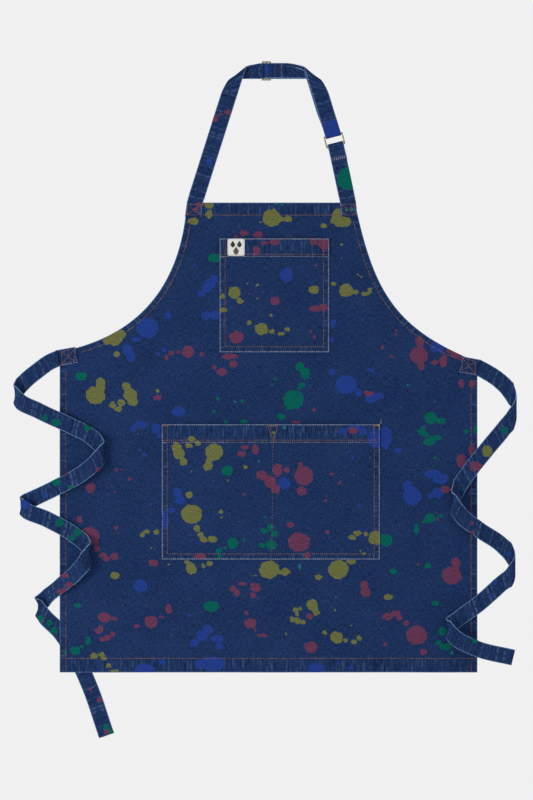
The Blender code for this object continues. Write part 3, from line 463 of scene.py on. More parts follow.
def splashed(look, weave, twill, cloth):
    """Splashes with ragged edges that soak into the twill, and how much they cover."""
    fine = look.maths("SUBTRACT", look.noise(weave, 520.0, 3.0), 0.5)
    lumpy = look.maths("SUBTRACT", look.noise(weave, 190.0, 2.0), 0.5)
    ragged = look.plus(look.times(fine, 0.0022), look.times(lumpy, 0.0034))
    grain = look.noise(look.scaled(weave, (1500.0, 260.0, 1.0)), 1.0, 1.0)
    soaked = look.plus(look.step(grain, 0.34, 0.66, 0.60, 1.12), look.times(twill, 0.08))
    covered = 0.0
    for paint, tint in PAINTS.items():
        patch = look.step(look.plus(look.number(paint), ragged), -0.0002, 0.0004)
        tinted = look.mix(1.0, tint, soaked, "MULTIPLY")
        cloth = look.mix(look.times(patch, 0.94), cloth, tinted)
        covered = look.maths("MAXIMUM", patch, covered)
    return cloth, covered


def denim_look(name, ladder_share, rim_share):
    """Twill with slubs, washed hems with pale edges and painted light and shade on their puckers, splashes
    of paint, and a plain inside.
    """
    dark, light, pale = (0.0030, 0.0100, 0.042), (0.0140, 0.0345, 0.106), (0.080, 0.135, 0.24)
    look = Look(name, 0.88, specular=0.03)
    weave = look.vector("weave")
    twill = look.ridges(weave, (5200.0, 3300.0, 0.0))
    mottle = look.noise(weave, 620.0, 3.0)
    warp = look.noise(look.scaled(weave, (1500.0, 150.0, 1.0)), 1.0, 1.0)
    weft = look.noise(look.scaled(weave, (110.0, 1300.0, 1.0)), 1.0, 1.0)
    cloud = look.noise(weave, 14.0, 2.0)
    level = look.plus(mottle, warp)
    for part, share in ((weft, 0.6), (cloud, 0.22), (twill, 0.10)):
        level = look.plus(level, look.times(part, share))
    cloth = look.mix(look.step(level, 1.18, 1.72), dark, light)
    cloth, ladder = hems_washed_and_shaded(look, cloth, dark, pale, ladder_share, rim_share)
    cloth = sprayed(look, weave, cloth)
    cloth, covered = splashed(look, weave, twill, cloth)
    inside = look.mix(look.step(level, 1.14, 1.80), light, tuple(2.3 * c for c in light))
    look.colour(look.mix(look.number("inside"), cloth, inside))
    look.put(look.shader.inputs["Roughness"], look.step(covered, 0.0, 1.0, 0.88, 0.80))
    height = look.plus(look.times(twill, 0.35), look.times(mottle, 0.8))
    look.bump(look.plus(height, look.times(ladder, 2.4)), 0.00045, 0.75)
    return look.made


def thread_look(name, tint):
    """Twisted sewing thread."""
    look = Look(name, 0.62)
    place = look.add("ShaderNodeTexCoord", {}).outputs["Object"]
    fade = look.noise(place, 160.0, 2.0)
    worn = tuple(0.45 * c for c in tint)
    look.colour(look.mix(look.step(fade, 0.38, 0.62), worn, tint))
    look.bump(look.noise(look.scaled(place, (2600.0, 2600.0, 2600.0)), 1.0, 1.0), 0.0002, 0.6)
    return look.made


def label_look():
    """Satin-woven label tape."""
    look = Look("label_cloth", 0.7)
    weave = look.vector("weave")
    ribs = look.ridges(weave, (0.0, 7000.0, 0.0))
    shade = look.plus(look.times(ribs, 0.25), look.noise(weave, 500.0, 2.0))
    look.colour(look.mix(look.step(shade, 0.35, 0.95), (0.46, 0.455, 0.43), (0.60, 0.595, 0.57)))
    look.bump(ribs, 0.0001, 0.4)
    return look.made


def brass_look():
    """Dull antique brass, darker and rougher in blotches."""
    look = Look("antique_brass", 0.36, metallic=1.0, specular=0.5)
    place = look.add("ShaderNodeTexCoord", {}).outputs["Object"]
    tarnish = look.noise(place, 240.0, 4.0)
    look.colour(look.mix(look.step(tarnish, 0.38, 0.66), (0.30, 0.235, 0.105), (0.13, 0.10, 0.05)))
    look.put(look.shader.inputs["Roughness"], look.step(tarnish, 0.3, 0.7, 0.28, 0.50))
    look.bump(look.noise(place, 1400.0, 2.0), 0.0001, 0.3)
    return look.made


# ---- mesh tools ---------------------------------------------------------------------------
def smooth_step(value):
    """0 below 0, 1 above 1, and a soft slope between them."""
    value = np.clip(value, 0.0, 1.0)
    return value * value * (3.0 - 2.0 * value)


def make_piece(name, points, faces, look, replaced, marks=None):
    """A new mesh object with its marks, which are numbers or vectors kept at each point."""
    data = bpy.data.meshes.new(name)
    data.from_pydata(np.asarray(points, float).tolist(), [], faces)
    data.materials.append(look)
    for key, values in (marks or {}).items():
        is_vector = values.ndim == 2
        layer = data.attributes.new(key, "FLOAT_VECTOR" if is_vector else "FLOAT", "POINT")
        layer.data.foreach_set("vector" if is_vector else "value", values.astype(np.float32).ravel())
    data.shade_smooth()
    data.set_sharp_from_angle(angle=math.radians(42))
    made = bpy.data.objects.new(name, data)
    bpy.context.scene.collection.objects.link(made)
    if replaced:
        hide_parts(*replaced)
    return made


def grid_faces(rows, columns, start=0, flipped=False):
    """Quads over a grid of points, as lists of point numbers."""
    numbers = start + np.arange(rows * columns).reshape(rows, columns)
    a, b = numbers[:-1, :-1], numbers[1:, :-1]
    c, d = numbers[1:, 1:], numbers[:-1, 1:]
    order = (a, d, c, b) if flipped else (a, b, c, d)
    return np.stack([part.ravel() for part in order], axis=1).tolist()


def rim_faces(rows, columns, back):
    """Quads that join the outline of a front grid to that of a back grid."""
    numbers = np.arange(rows * columns).reshape(rows, columns)
    ring = list(numbers[0, :-1]) + list(numbers[:-1, -1])
    ring += list(numbers[-1, :0:-1]) + list(numbers[:0:-1, 0])
    faces = []
    for here, after in zip(ring, ring[1:] + ring[:1]):
        faces.append([int(here), int(after), int(after) + back, int(here) + back])
    return faces


def cloth_shell(name, x, y, z, look, replaced, marks, thickness=CLOTH, turned=False):
    """A closed sheet of cloth: a grid of front points, and the same grid one thickness behind.

    The back shows the cloth's plain inside, unless the sheet is a hem turned to the back.
    """
    rows, columns = x.shape
    count = x.size
    front = np.stack([x.ravel(), y.ravel(), z.ravel()], axis=1)
    points = np.vstack([front, front + [0.0, thickness, 0.0]])
    faces = grid_faces(rows, columns) + grid_faces(rows, columns, count, flipped=True)
    faces += rim_faces(rows, columns, count)
    both = {"weave": np.vstack([np.stack([x.ravel(), z.ravel(), 0 * x.ravel()], axis=1)] * 2)}
    for key, values in marks.items():
        behind = np.full(count, UNPAINTED) if key in PAINTS else values.ravel()
        both[key] = np.concatenate([values.ravel(), behind])
    both["inside"] = np.repeat([0.0, 0.0 if turned else 1.0], count)
    return make_piece(name, points, faces, look, replaced, both)


def paint_marks(x, z, splashes):
    """For each paint, how deep inside its nearest splash a point lies, below 0 outside."""
    wobble_x = x + 0.0007 * np.sin(430 * x + 310 * z) + 0.0004 * np.sin(-260 * x + 720 * z)
    wobble_z = z + 0.0007 * np.sin(350 * z - 390 * x + 1.0) + 0.0004 * np.sin(690 * x + 240 * z)
    marks = {}
    for paint in PAINTS:
        depth = np.full(x.shape, UNPAINTED)
        for across, down, wide, *tall in splashes.get(paint, ()):
            wide = wide * CM
            high = tall[0] * CM if tall else wide
            reach = np.hypot((wobble_x - across * CM) / wide, (wobble_z - TOP_Z + down * CM) / high)
            depth = np.maximum(depth, (1.0 - reach) * min(wide, high))
        marks[paint] = depth
    return marks


def nearest_on(line, x, z):
    """Distance from each point to a line of (x, z) corners, and how far along it that spot is."""
    nearest = np.full(x.shape, FAR)
    along = np.zeros(x.shape)
    run = 0.0
    for (ax, az), (bx, bz) in zip(line[:-1], line[1:]):
        length = math.hypot(bx - ax, bz - az)
        ux, uz = (bx - ax) / length, (bz - az) / length
        t = np.clip((x - ax) * ux + (z - az) * uz, 0.0, length)
        distance = np.hypot(x - ax - t * ux, z - az - t * uz)
        closer = distance < nearest
        nearest = np.where(closer, distance, nearest)
        along = np.where(closer, run + t, along)
        run += length
    return nearest, along


def hem_marks(x, z, edges):
    """Each point's place in the hem it is deepest in: edges are (line, hem width)."""
    hem = np.full(x.shape, FAR)
    edge = np.full(x.shape, FAR)
    along = np.zeros(x.shape)
    for line, width in edges:
        distance, run = nearest_on(line, x, z)
        deeper = distance / width < hem
        hem = np.where(deeper, distance / width, hem)
        along = np.where(deeper, run, along)
        edge = np.minimum(edge, distance)
    return {"hem": np.minimum(hem, 3.0), "edge": np.minimum(edge, 0.05), "along": along}


def rounded_bar(mesh, low, high, radius):
    """A block with rounded edges, added to a bmesh."""
    verts = [mesh.verts.new(corner) for corner in itertools.product(*zip(low, high))]
    sides = ((0, 1, 3, 2), (4, 6, 7, 5), (0, 4, 5, 1), (2, 3, 7, 6), (0, 2, 6, 4), (1, 5, 7, 3))
    faces = [mesh.faces.new([verts[i] for i in side]) for side in sides]
    edges = list({edge for face in faces for edge in face.edges})
    bmesh.ops.bevel(mesh, geom=edges, offset=radius, segments=3, profile=0.5, affect="EDGES")


def from_bmesh(name, mesh, look, replaced):
    bmesh.ops.recalc_face_normals(mesh, faces=mesh.faces)
    mesh.verts.ensure_lookup_table()
    points = [tuple(v.co) for v in mesh.verts]
    faces = [[v.index for v in face.verts] for face in mesh.faces]
    mesh.free()
    return make_piece(name, points, faces, look, replaced)


def tube(name, line, radius, look, replaced, closed=False, sides=10):
    """A round wire along a line of points."""
    count = len(line)
    points = []
    for i, here in enumerate(line):
        before = line[i - 1] if closed or i else here
        after = line[(i + 1) % count] if closed or i < count - 1 else here
        ahead = (after - before).normalized()
        first = ahead.cross(Vector((0.3, -0.2, 0.93))).normalized()
        second = ahead.cross(first)
        for k in range(sides):
            turn = 2 * math.pi * k / sides
            points.append(here + (first * math.cos(turn) + second * math.sin(turn)) * radius)
    faces = []
    for i in range(count if closed else count - 1):
        j = (i + 1) % count
        for k in range(sides):
            m = (k + 1) % sides
            faces.append([i * sides + k, i * sides + m, j * sides + m, j * sides + k])
    if not closed:
        faces.append(list(range(sides))[::-1])
        faces.append(list(range((count - 1) * sides, count * sides)))
    return make_piece(name, [tuple(p) for p in points], faces, look, replaced)


# ---- stitches -----------------------------------------------------------------------------
THREAD = 0.00042  # radius of the heavy topstitching thread
STITCH, STITCH_GAP = 0.0026, 0.0009
# Each ring of a stitch: share of its length, then width and lift as shares of the radius.
THREAD_RINGS = [(0.0, 0.45, -0.7), (0.16, 0.95, 0.15), (0.5, 1.0, 0.45)]
THREAD_RINGS += [(0.84, 0.95, 0.15), (1.0, 0.45, -0.7)]


def walk(line, spacing):
    """Points every spacing along a line of points."""
    line = [Vector(p) for p in line]
    spots = []
    left = 0.0
    for here, after in zip(line, line[1:]):
        length = (after - here).length
        while left <= length:
            spots.append(here.lerp(after, left / length))
            left += spacing
        left -= length
    return spots


def stitches_along(line, surface, stitch=STITCH, gap=STITCH_GAP):
    """Pairs of end points of the stitches of one row; the line is (x, z), surface gives y."""
    pairs = []
    for corner, following in zip(line, line[1:]):
        length = (Vector(following) - Vector(corner)).length
        count = max(1, round(length / (stitch + gap)))
        ahead = (Vector(following) - Vector(corner)) / count
        for i in range(count):
            start = Vector(corner) + ahead * i
            end = start + ahead * (stitch / (stitch + gap))
            ends = [Vector((p.x, float(surface(p.x, p.y)), p.y)) for p in (start, end)]
            pairs.append((*ends, FRONT))
    return pairs


def row_along(line, surface):
    """As stitches_along, for a curved line that is walked in even steps."""
    spots = [(p.x, p.y) for p in walk(line, STITCH + STITCH_GAP)]
    pairs = []
    for here, after in zip(spots, spots[1:]):
        start = Vector(here)
        end = start.lerp(Vector(after), STITCH / (STITCH + STITCH_GAP))
        ends = [Vector((p.x, float(surface(p.x, p.y)), p.y)) for p in (start, end)]
        pairs.append((*ends, FRONT))
    return pairs


def thread_rows(name, pairs, look, replaced=(), radius=THREAD):
    """Stitches as short threads that rise out of the cloth and dive back into it."""
    start = np.array([tuple(a) for a, b, out in pairs])
    end = np.array([tuple(b) for a, b, out in pairs])
    out = np.array([tuple(out) for a, b, out in pairs])
    ahead = end - start
    ahead /= np.linalg.norm(ahead, axis=1, keepdims=True)
    side = np.cross(ahead, out)
    sides = 6
    turns = np.arange(sides) * 2 * np.pi / sides
    points = np.empty((len(pairs), len(THREAD_RINGS), sides, 3))
    for r, (share, width, lift) in enumerate(THREAD_RINGS):
        middle = start + (end - start) * share + out * lift * radius
        for k, turn in enumerate(turns):
            points[:, r, k] = middle + (side * math.cos(turn) + out * math.sin(turn)) * width * radius
    one = []
    for r in range(len(THREAD_RINGS) - 1):
        for k in range(sides):
            m = (k + 1) % sides
            one.append([r * sides + k, (r + 1) * sides + k, (r + 1) * sides + m, r * sides + m])
    last = (len(THREAD_RINGS) - 1) * sides
    caps = [list(range(sides)), list(range(last + sides - 1, last - 1, -1))]
    per = len(THREAD_RINGS) * sides
    faces = [[i + s * per for i in face] for s in range(len(pairs)) for face in one + caps]
    return make_piece(name, points.reshape(-1, 3), faces, look, replaced)


# ---- the hanging cloth --------------------------------------------------------------------
def drape(x, z):
    """How far the hanging cloth stands behind its flat plane: slow folds below the bib's top."""
    below = smooth_step((TOP_Z - 0.03 - z) / 0.25)
    sewn_ties = smooth_step((np.abs(x) - 0.24) / 0.07) * smooth_step((z + 0.58) / 0.06)
    folds = 0.0009 * np.sin(21.0 * x + 3.0 * z + 1.0) + 0.0006 * np.sin(46.0 * x - 5.0 * z - 0.5)
    return folds * below * (1.0 - sewn_ties)


def panel_face(x, z):
    return FRONT_Y + drape(x, z)


def curve_between(start, start_angle, start_pull, end, end_angle, end_pull, steps):
    """A cubic curve of (x, z) points; angles in degrees give each handle's direction."""
    points = [np.array(start)]
    for base, angle, pull in ((start, start_angle, start_pull), (end, end_angle, end_pull)):
        turn = math.radians(angle)
        points.append(np.array(base) + pull * np.array((math.cos(turn), math.sin(turn))))
    points.append(np.array(end))
    a, b, c, d = points
    t = np.linspace(0.0, 1.0, steps + 1)[:, None]
    s = 1.0 - t
    return s**3 * a + 3 * s * s * t * b + 3 * s * t * t * c + t**3 * d


def armhole_left(steps=60):
    end = (-HALF_WIDTH, SHOULDER_LEFT_Z)
    return curve_between((BIB_LEFT_X, TOP_Z), -94, 0.139, end, 11, 0.136, steps)


def armhole_right(steps=60):
    end = (HALF_WIDTH, SHOULDER_RIGHT_Z)
    return curve_between((BIB_RIGHT_X, TOP_Z), -78, 0.153, end, 158, 0.150, steps)


def inset_line(line, distance):
    """A line of (x, z) points moved sideways: a positive distance is to the left of travel."""
    line = np.asarray(line)
    ahead = np.gradient(line, axis=0)
    ahead /= np.linalg.norm(ahead, axis=1, keepdims=True)
    return line + distance * np.stack([-ahead[:, 1], ahead[:, 0]], axis=1)


def panel_edges():
    """Each edge of the panel with the width of its hem."""
    left, right = armhole_left(), armhole_right()
    return [
        ([(BIB_LEFT_X, TOP_Z), (BIB_RIGHT_X, TOP_Z)], TOP_HEM),
        (left, SIDE_HEM),
        (right, SIDE_HEM),
        ([(-HALF_WIDTH, SHOULDER_LEFT_Z), (-HALF_WIDTH, BOTTOM_Z)], SIDE_HEM),
        ([(HALF_WIDTH, SHOULDER_RIGHT_Z), (HALF_WIDTH, BOTTOM_Z)], SIDE_HEM),
        ([(-HALF_WIDTH, BOTTOM_Z), (HALF_WIDTH, BOTTOM_Z)], BOTTOM_HEM),
    ]


def build_panel(denim, cell=0.003):
    """The apron's one big sheet, cut to the armholes."""
    left, right = armhole_left(110), armhole_right(110)
    levels = list(left[:-1, 1])
    levels += [z for z in right[:, 1] if z < SHOULDER_LEFT_Z - 0.0005]
    below = np.linspace(SHOULDER_RIGHT_Z, BOTTOM_Z, round((SHOULDER_RIGHT_Z - BOTTOM_Z) / cell))
    levels = np.array(levels + list(below[1:]))
    first = np.interp(-levels, -left[:, 1], left[:, 0])
    last = np.interp(-levels, -right[:, 1], right[:, 0])
    share = np.linspace(0.0, 1.0, round(2 * HALF_WIDTH / cell) + 1)
    x = first[:, None] + (last - first)[:, None] * share
    z = np.repeat(levels[:, None], len(share), axis=1)
    marks = {**hem_marks(x, z, panel_edges()), **paint_marks(x, z, PANEL_PAINT)}
    cloth_shell("body_panel_cloth", x, panel_face(x, z), z, denim, ["body_panel"], marks)


def strip(node, one, other, look):
    """A hem turned to the back: a strip of cloth between two lines of (x, z) points."""
    share = np.linspace(0.0, 1.0, 7)[None, :]
    x = one[:, :1] + (other[:, :1] - one[:, :1]) * share
    z = one[:, 1:] + (other[:, 1:] - one[:, 1:]) * share
    y = panel_face(x, z) + CLOTH - SEWN_IN
    puckers = 0.00025 * np.sin(x * 760.0 + z * 640.0) * np.sin(np.pi * share)
    edge = np.minimum(share, 1.0 - share) * 0.02 + 0 * x
    marks = {"hem": 0.5 + 0 * x, "edge": edge, "along": x + z, **paint_marks(x, z, {})}
    cloth_shell(f"{node}_cloth", x, y + puckers, z, look, [node], marks, turned=True)


def evenly(start, end, spacing=0.004):
    count = max(2, round(math.dist(start, end) / spacing))
    return np.linspace(start, end, count)


def build_hems(denim):
    """The four straight hems and the two along the armholes."""
    inner = 0.0002
    top = evenly((BIB_LEFT_X + HEM_CORNER, TOP_Z - inner), (BIB_RIGHT_X - HEM_CORNER, TOP_Z - inner))
    strip("top_hem", top, top - [0.0, TOP_HEM], denim)
    foot = BOTTOM_Z + inner
    low = evenly((-HALF_WIDTH + inner, foot), (HALF_WIDTH - inner, foot))
    strip("bottom_hem", low + [0.0, BOTTOM_HEM], low, denim)
    for side, sign, shoulder in SIDES:
        x = sign * (HALF_WIDTH - inner)
        outer = evenly((x, shoulder - 0.004), (x, BOTTOM_Z + BOTTOM_HEM))
        pair = (outer, outer - [sign * SIDE_HEM, 0.0])
        strip(f"side_hem_{side}", *pair[::-sign], denim)
    for side, line, sign in (("left", armhole_left(90), 1), ("right", armhole_right(90), -1)):
        below = line[:, 1] < TOP_Z - TOP_HEM - 0.001
        line = line[below & (np.abs(line[:, 0]) < HALF_WIDTH - 0.012)]
        pair = (inset_line(line, sign * inner), inset_line(line, sign * SIDE_HEM))
        strip(f"armhole_hem_{side}", *pair[::sign], denim)


def sewn_through(name, pairs, look, replaced, layers=2):
    """A row of stitches, and the same row where it comes out behind so many layers of cloth."""
    behind = []
    for pair in pairs:
        spots = [(p.x, p.z) for p in pair[:2]]
        ends = [Vector((x, float(panel_face(x, z)) + layers * CLOTH, z)) for x, z in spots]
        behind.append((*ends, BACK))
    thread_rows(name, pairs + behind, look, replaced)


def build_edge_stitches(thread):
    """One row of topstitching along every hem."""
    top_z, low_z = TOP_Z - TOP_HEM + 0.002, BOTTOM_Z + BOTTOM_HEM - 0.001
    row = [(BIB_LEFT_X + 0.028, top_z), (BIB_RIGHT_X - 0.026, top_z)]  # between the straps' ends
    sewn_through("top_hem_thread", stitches_along(row, panel_face), thread, ["top_hem_stitch"])
    row = [(-HALF_WIDTH + 0.002, low_z), (HALF_WIDTH - 0.002, low_z)]
    sewn_through("bottom_hem_thread", stitches_along(row, panel_face), thread, ["bottom_hem_stitch"])
    for side, sign, shoulder in SIDES:
        x = sign * (HALF_WIDTH - ROW_INSET - 0.001)
        row = [(x, shoulder - 0.034), (x, BOTTOM_Z + 0.002)]  # from below the tie's sewn end
        pairs = stitches_along(row, panel_face)
        sewn_through(f"side_thread_{side}", pairs, thread, [f"side_stitch_{side}"])
    for side, line, sign in (("left", armhole_left(), 1), ("right", armhole_right(), -1)):
        row = inset_line(line, sign * ROW_INSET)
        row = row[(row[:, 1] < TOP_Z - 0.027) & (np.abs(row[:, 0]) < HALF_WIDTH - 0.034)]
        pairs = row_along(row.tolist(), panel_face)
        sewn_through(f"armhole_thread_{side}", pairs, thread, [f"armhole_stitch_{side}"])


# ---- pockets ------------------------------------------------------------------------------
class Pocket:
    """A patch pocket: flat where it is sewn, fuller between the rows and at its mouth."""

    def __init__(self, node, fullness, dividers=()):
        self.node = node
        low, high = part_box(node)
        self.left, self.right, self.bottom, self.top = low.x, high.x, low.z, high.z
        self.fullness = fullness
        walls = [self.left + ROW_INSET, *dividers, self.right - ROW_INSET]
        self.bays = list(zip(walls, walls[1:]))

    def rise(self, x, z):
        """How far the pocket's front stands off the panel's front."""
        doubled = smooth_step((z - self.top + POCKET_HEM + 0.0015) / 0.003) * (CLOTH + GAP)
        tall = self.top - self.bottom - ROW_INSET
        up = smooth_step((z - self.bottom - ROW_INSET) / (0.75 * tall))
        bulge = 0.0
        for start, end in self.bays:
            share = np.clip((x - start) / (end - start), 0.0, 1.0)
            bulge = bulge + np.sin(np.pi * share) ** 0.9
        slack = 0.0006 * np.sin(34.0 * x + 11.0 * z) * up
        return GAP + CLOTH + doubled + (self.fullness * bulge + slack * bulge) * up

    def face(self, x, z):
        return panel_face(x, z) - self.rise(x, z)

    def grid(self, bottom, top, inset=0.0, cell=0.0025):
        columns = round((self.right - self.left) / cell) + 1
        rows = max(3, round((top - bottom) / cell) + 1)
        x = np.linspace(self.left + inset, self.right - inset, columns)
        z = np.linspace(top, bottom, rows)
        return np.meshgrid(x, z)

    def edges(self):
        left, right, top, bottom = self.left, self.right, self.top, self.bottom
        return [
            ([(left, top), (right, top)], POCKET_HEM),
            ([(left, top), (left, bottom)], ROW_INSET),
            ([(right, top), (right, bottom)], ROW_INSET),
            ([(left, bottom), (right, bottom)], ROW_INSET),
        ]


BIB = Pocket("bib_pocket", 0.0036)
WAIST = Pocket("waist_pocket", 0.0045, [DIVIDER_X])


def build_pocket(pocket, paint, denim, hems):
    """The pocket's patch, and the hem folded inside its mouth."""
    x, z = pocket.grid(pocket.bottom, pocket.top)
    marks = {**hem_marks(x, z, pocket.edges()), **paint_marks(x, z, paint)}
    name = f"{pocket.node}_cloth"
    cloth_shell(name, x, pocket.face(x, z), z, denim, [pocket.node], marks)
    x, z = pocket.grid(pocket.top - POCKET_HEM, pocket.top - GAP, 0.0012)
    y = pocket.face(x, z) + CLOTH - SEWN_IN
    marks = {"hem": 0.6 + 0 * x, "edge": 0.004 + 0 * x, "along": x, **paint_marks(x, z, {})}
    cloth_shell(f"{pocket.node}_hem_cloth", x, y, z, denim, hems, marks)


def build_pocket_stitches(pocket, thread, pale):
    """An inner orange row and a worn pale outer row, and the rows along the mouth's hem."""
    for name, inset, look in (("stitch", ROW_INSET, thread), ("edge", EDGE_INSET, pale)):
        left, right = pocket.left + inset, pocket.right - inset
        low, high = pocket.bottom + inset, pocket.top - EDGE_INSET
        around = [(left, high), (left, low), (right, low), (right, high)]
        pairs = stitches_along(around, pocket.face)
        replaced = [f"{pocket.node}_stitch"] if name == "stitch" else []
        sewn_through(f"{pocket.node}_{name}_thread", pairs, look, replaced, layers=1)
    left, right = pocket.left + EDGE_INSET, pocket.right - EDGE_INSET
    hem_z = pocket.top - POCKET_HEM + 0.0022
    pairs = stitches_along([(left, hem_z), (right, hem_z)], pocket.face)
    thread_rows(f"{pocket.node}_hem_thread", pairs, thread, [f"{pocket.node}_hem_stitch"])
    below = [(left, hem_z - 0.0036), (right, hem_z - 0.0036)]
    above = [(left, pocket.top - EDGE_INSET), (right, pocket.top - EDGE_INSET)]
    pairs = stitches_along(below, pocket.face) + stitches_along(above, pocket.face)
    thread_rows(f"{pocket.node}_mouth_thread", pairs, pale)


def build_divider(thread):
    """The dashed row that parts the waist pocket, sewn through to the panel."""
    top = WAIST.top - POCKET_HEM + 0.001
    row = [(DIVIDER_X, top), (DIVIDER_X - 0.002, WAIST.bottom + ROW_INSET + 0.002)]
    pairs = stitches_along(row, WAIST.face, 0.0024, 0.0026)
    thread_rows("waist_divider_thread", pairs, thread, ["waist_pocket_divider_stitch"])


def build_bartacks(thread):
    """Dense bars at the waist pocket's corners and a triangle over its divider."""
    threads, spacing = 13, 0.00075
    for side, x in (("left", WAIST.left + 0.0055), ("right", WAIST.right - 0.0055)):
        pairs = []
        for i in range(threads):
            spot = x + (i - threads // 2) * spacing
            bar = [(spot, WAIST.top - 0.0006), (spot, WAIST.top - 0.0036)]
            pairs += stitches_along(bar, WAIST.face, 0.003, 0.0)
        thread_rows(f"bartack_{side}_thread", pairs, thread, [f"bartack_{side}"])
    top, half, tall = WAIST.top - 0.0025, 0.0085, 0.026
    corners = [(DIVIDER_X - half, top), (DIVIDER_X + half, top), (DIVIDER_X + 0.0008, top - tall)]
    lower = [(x, z - 0.0012) for x, z in corners[:2]]
    pairs = []
    for row in (corners + corners[:1], lower):
        pairs += stitches_along(row, WAIST.face, 0.0018, 0.0004)
    thread_rows("bartack_middle_thread", pairs, thread, ["bartack_middle"])


def build_thread_tail(pale):
    """A loose thread end that curls up from the waist pocket's right corner."""
    x, z = WAIST.right - 0.003, WAIST.top - 0.0012
    offsets = [(0.0, 0.0), (0.0028, 0.0010), (0.0046, 0.0038), (0.0050, 0.0072), (0.0042, 0.0098)]
    y = float(WAIST.face(x, z)) - 0.0006
    line = [Vector((x + dx, y + 0.0004 * i, z + dz)) for i, (dx, dz) in enumerate(offsets)]
    tube("loose_thread", line, 0.0004, pale, [], sides=6)


def build_label(cloth, ink, pale):
    """A small woven patch with a plain motif of three leaves in place of any lettering."""
    low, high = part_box("woven_label")
    corner = 0.0022
    x, z = np.meshgrid(np.linspace(low.x, high.x, 25), np.linspace(high.z, low.z, 25))
    middle_x, middle_z = (low.x + high.x) / 2, (low.z + high.z) / 2
    half = (high.x - low.x) / 2
    from_x, from_z = (x - middle_x) / half, (z - middle_z) / half
    pull = 1.0 - (corner / half) * 0.30 * (np.abs(from_x) * np.abs(from_z)) ** 6
    x, z = middle_x + from_x * half * pull, middle_z + from_z * half * pull

    def face(x, z):
        return BIB.face(x, z) - 0.0008

    marks = paint_marks(x, z, {})
    replaced = ["woven_label"]
    cloth_shell("woven_label_cloth", x, face(x, z), z, cloth, replaced, marks, 0.0007)
    inset = half - 0.0016
    around = [(-1, 1), (-1, -1), (1, -1), (1, 1), (-1, 1)]
    around = [(middle_x + a * inset, middle_z + b * inset) for a, b in around]
    thread_rows("label_thread", stitches_along(around, face, 0.0016, 0.0010), pale, radius=0.00028)
    pairs = []
    for across, up, size in ((-0.0055, 0.0052, 0.0046), (0.0055, 0.0052, 0.0046), (0.0, -0.0058, 0.0056)):
        for i in range(9):
            t = (i - 4) / 4.5
            wide = size * math.sqrt(1 - t * t) * (1.0 if t < 0 else 1.0 - 0.75 * t)
            level = middle_z + up + size * 1.15 * t
            row = [(middle_x + across - wide, level), (middle_x + across + wide, level)]
            pairs += stitches_along(row, face, 0.009, 0.0)
    thread_rows("label_motif", pairs, ink, radius=0.00062)


# ---- tape ---------------------------------------------------------------------------------
PROFILE = [(0.0, 0.0), (0.010, 0.66), (0.035, 0.96), (0.13, 1.0), (0.32, 0.93), (0.5, 0.90)]
PROFILE += [(1.0 - s, h) for s, h in PROFILE[-2::-1]]
PROFILE += [(s, -h) for s, h in PROFILE[-2:0:-1]]


def ribbon(name, rungs, look, replaced, thickness=WEBBING):
    """Folded tape with soft edges, along rungs of (one edge, other edge, face normal)."""
    one = np.array([tuple(r[0]) for r in rungs])
    other = np.array([tuple(r[1]) for r in rungs])
    normal = np.array([tuple(r[2]) for r in rungs])
    middle = (one + other) / 2
    run = np.concatenate([[0.0], np.cumsum(np.linalg.norm(np.diff(middle, axis=0), axis=1))])
    share = np.array([s for s, h in PROFILE])
    high = np.array([h for s, h in PROFILE]) * thickness / 2
    points = one[:, None] + (other - one)[:, None] * share[None, :, None]
    points += normal[:, None] * high[None, :, None]
    rows, sides = len(rungs), len(PROFILE)
    along = np.repeat(run[:, None], sides, axis=1)
    width = np.repeat(share[None] * TAPE_WIDTH, rows, axis=0)
    edge = np.minimum(width, TAPE_WIDTH - width)
    x, z = points[:, :, 0], points[:, :, 2]
    marks = {
        "weave": np.stack([width.ravel(), along.ravel(), 0 * along.ravel()], axis=1),
        "hem": (edge / 0.011).ravel(),
        "edge": edge.ravel(),
        "along": along.ravel(),
        "inside": np.zeros(x.size),
    }
    marks.update({key: depth.ravel() for key, depth in paint_marks(x, z, TAPE_PAINT).items()})
    numbers = np.arange(rows * sides).reshape(rows, sides)
    following = np.roll(numbers, -1, axis=1)
    quads = np.stack([numbers[:-1], following[:-1], following[1:], numbers[1:]], axis=2)
    faces = quads.reshape(-1, 4).tolist()
    faces.append(numbers[0, ::-1].tolist())
    faces.append(numbers[-1].tolist())
    made = make_piece(name, points.reshape(-1, 3), faces, look, replaced, marks)
    outward_faces(made)
    return made


def outward_faces(made):
    mesh = bmesh.new()
    mesh.from_mesh(made.data)
    bmesh.ops.recalc_face_normals(mesh, faces=mesh.faces)
    mesh.to_mesh(made.data)
    mesh.free()


def heading(lean):
    """The direction up a leaning strap."""
    return Vector((math.cos(lean), 0.0, math.sin(lean)))


RING_DOWN = -heading(RING_LEAN)
RING_REACH = RING_DOWN * ((RING_WINDOW + BAR) / 2)
UPPER_BAR, LOWER_BAR = RING_MIDDLE - RING_REACH, RING_MIDDLE + RING_REACH
UPPER_FOOT = UPPER_BAR + FRONT * LOOP_RADIUS
SHORT_RADIUS = LOOP_RADIUS + RING_PLAY
SHORT_TOP = LOWER_BAR + FRONT * SHORT_RADIUS


def at_height(foot, lean, height):
    """The point of a leaning strap's middle at a given height."""
    return foot + heading(lean) * ((height - foot.z) / math.sin(lean))


def straight(start, end, normal, width, spacing=0.004):
    """Square rungs of a straight stretch, both ends included."""
    across = normal.cross((end - start).normalized()) * (width / 2)
    steps = max(1, round((end - start).length / spacing))
    middles = [start.lerp(end, i / steps) for i in range(steps + 1)]
    return [(middle - across, middle + across, normal) for middle in middles]


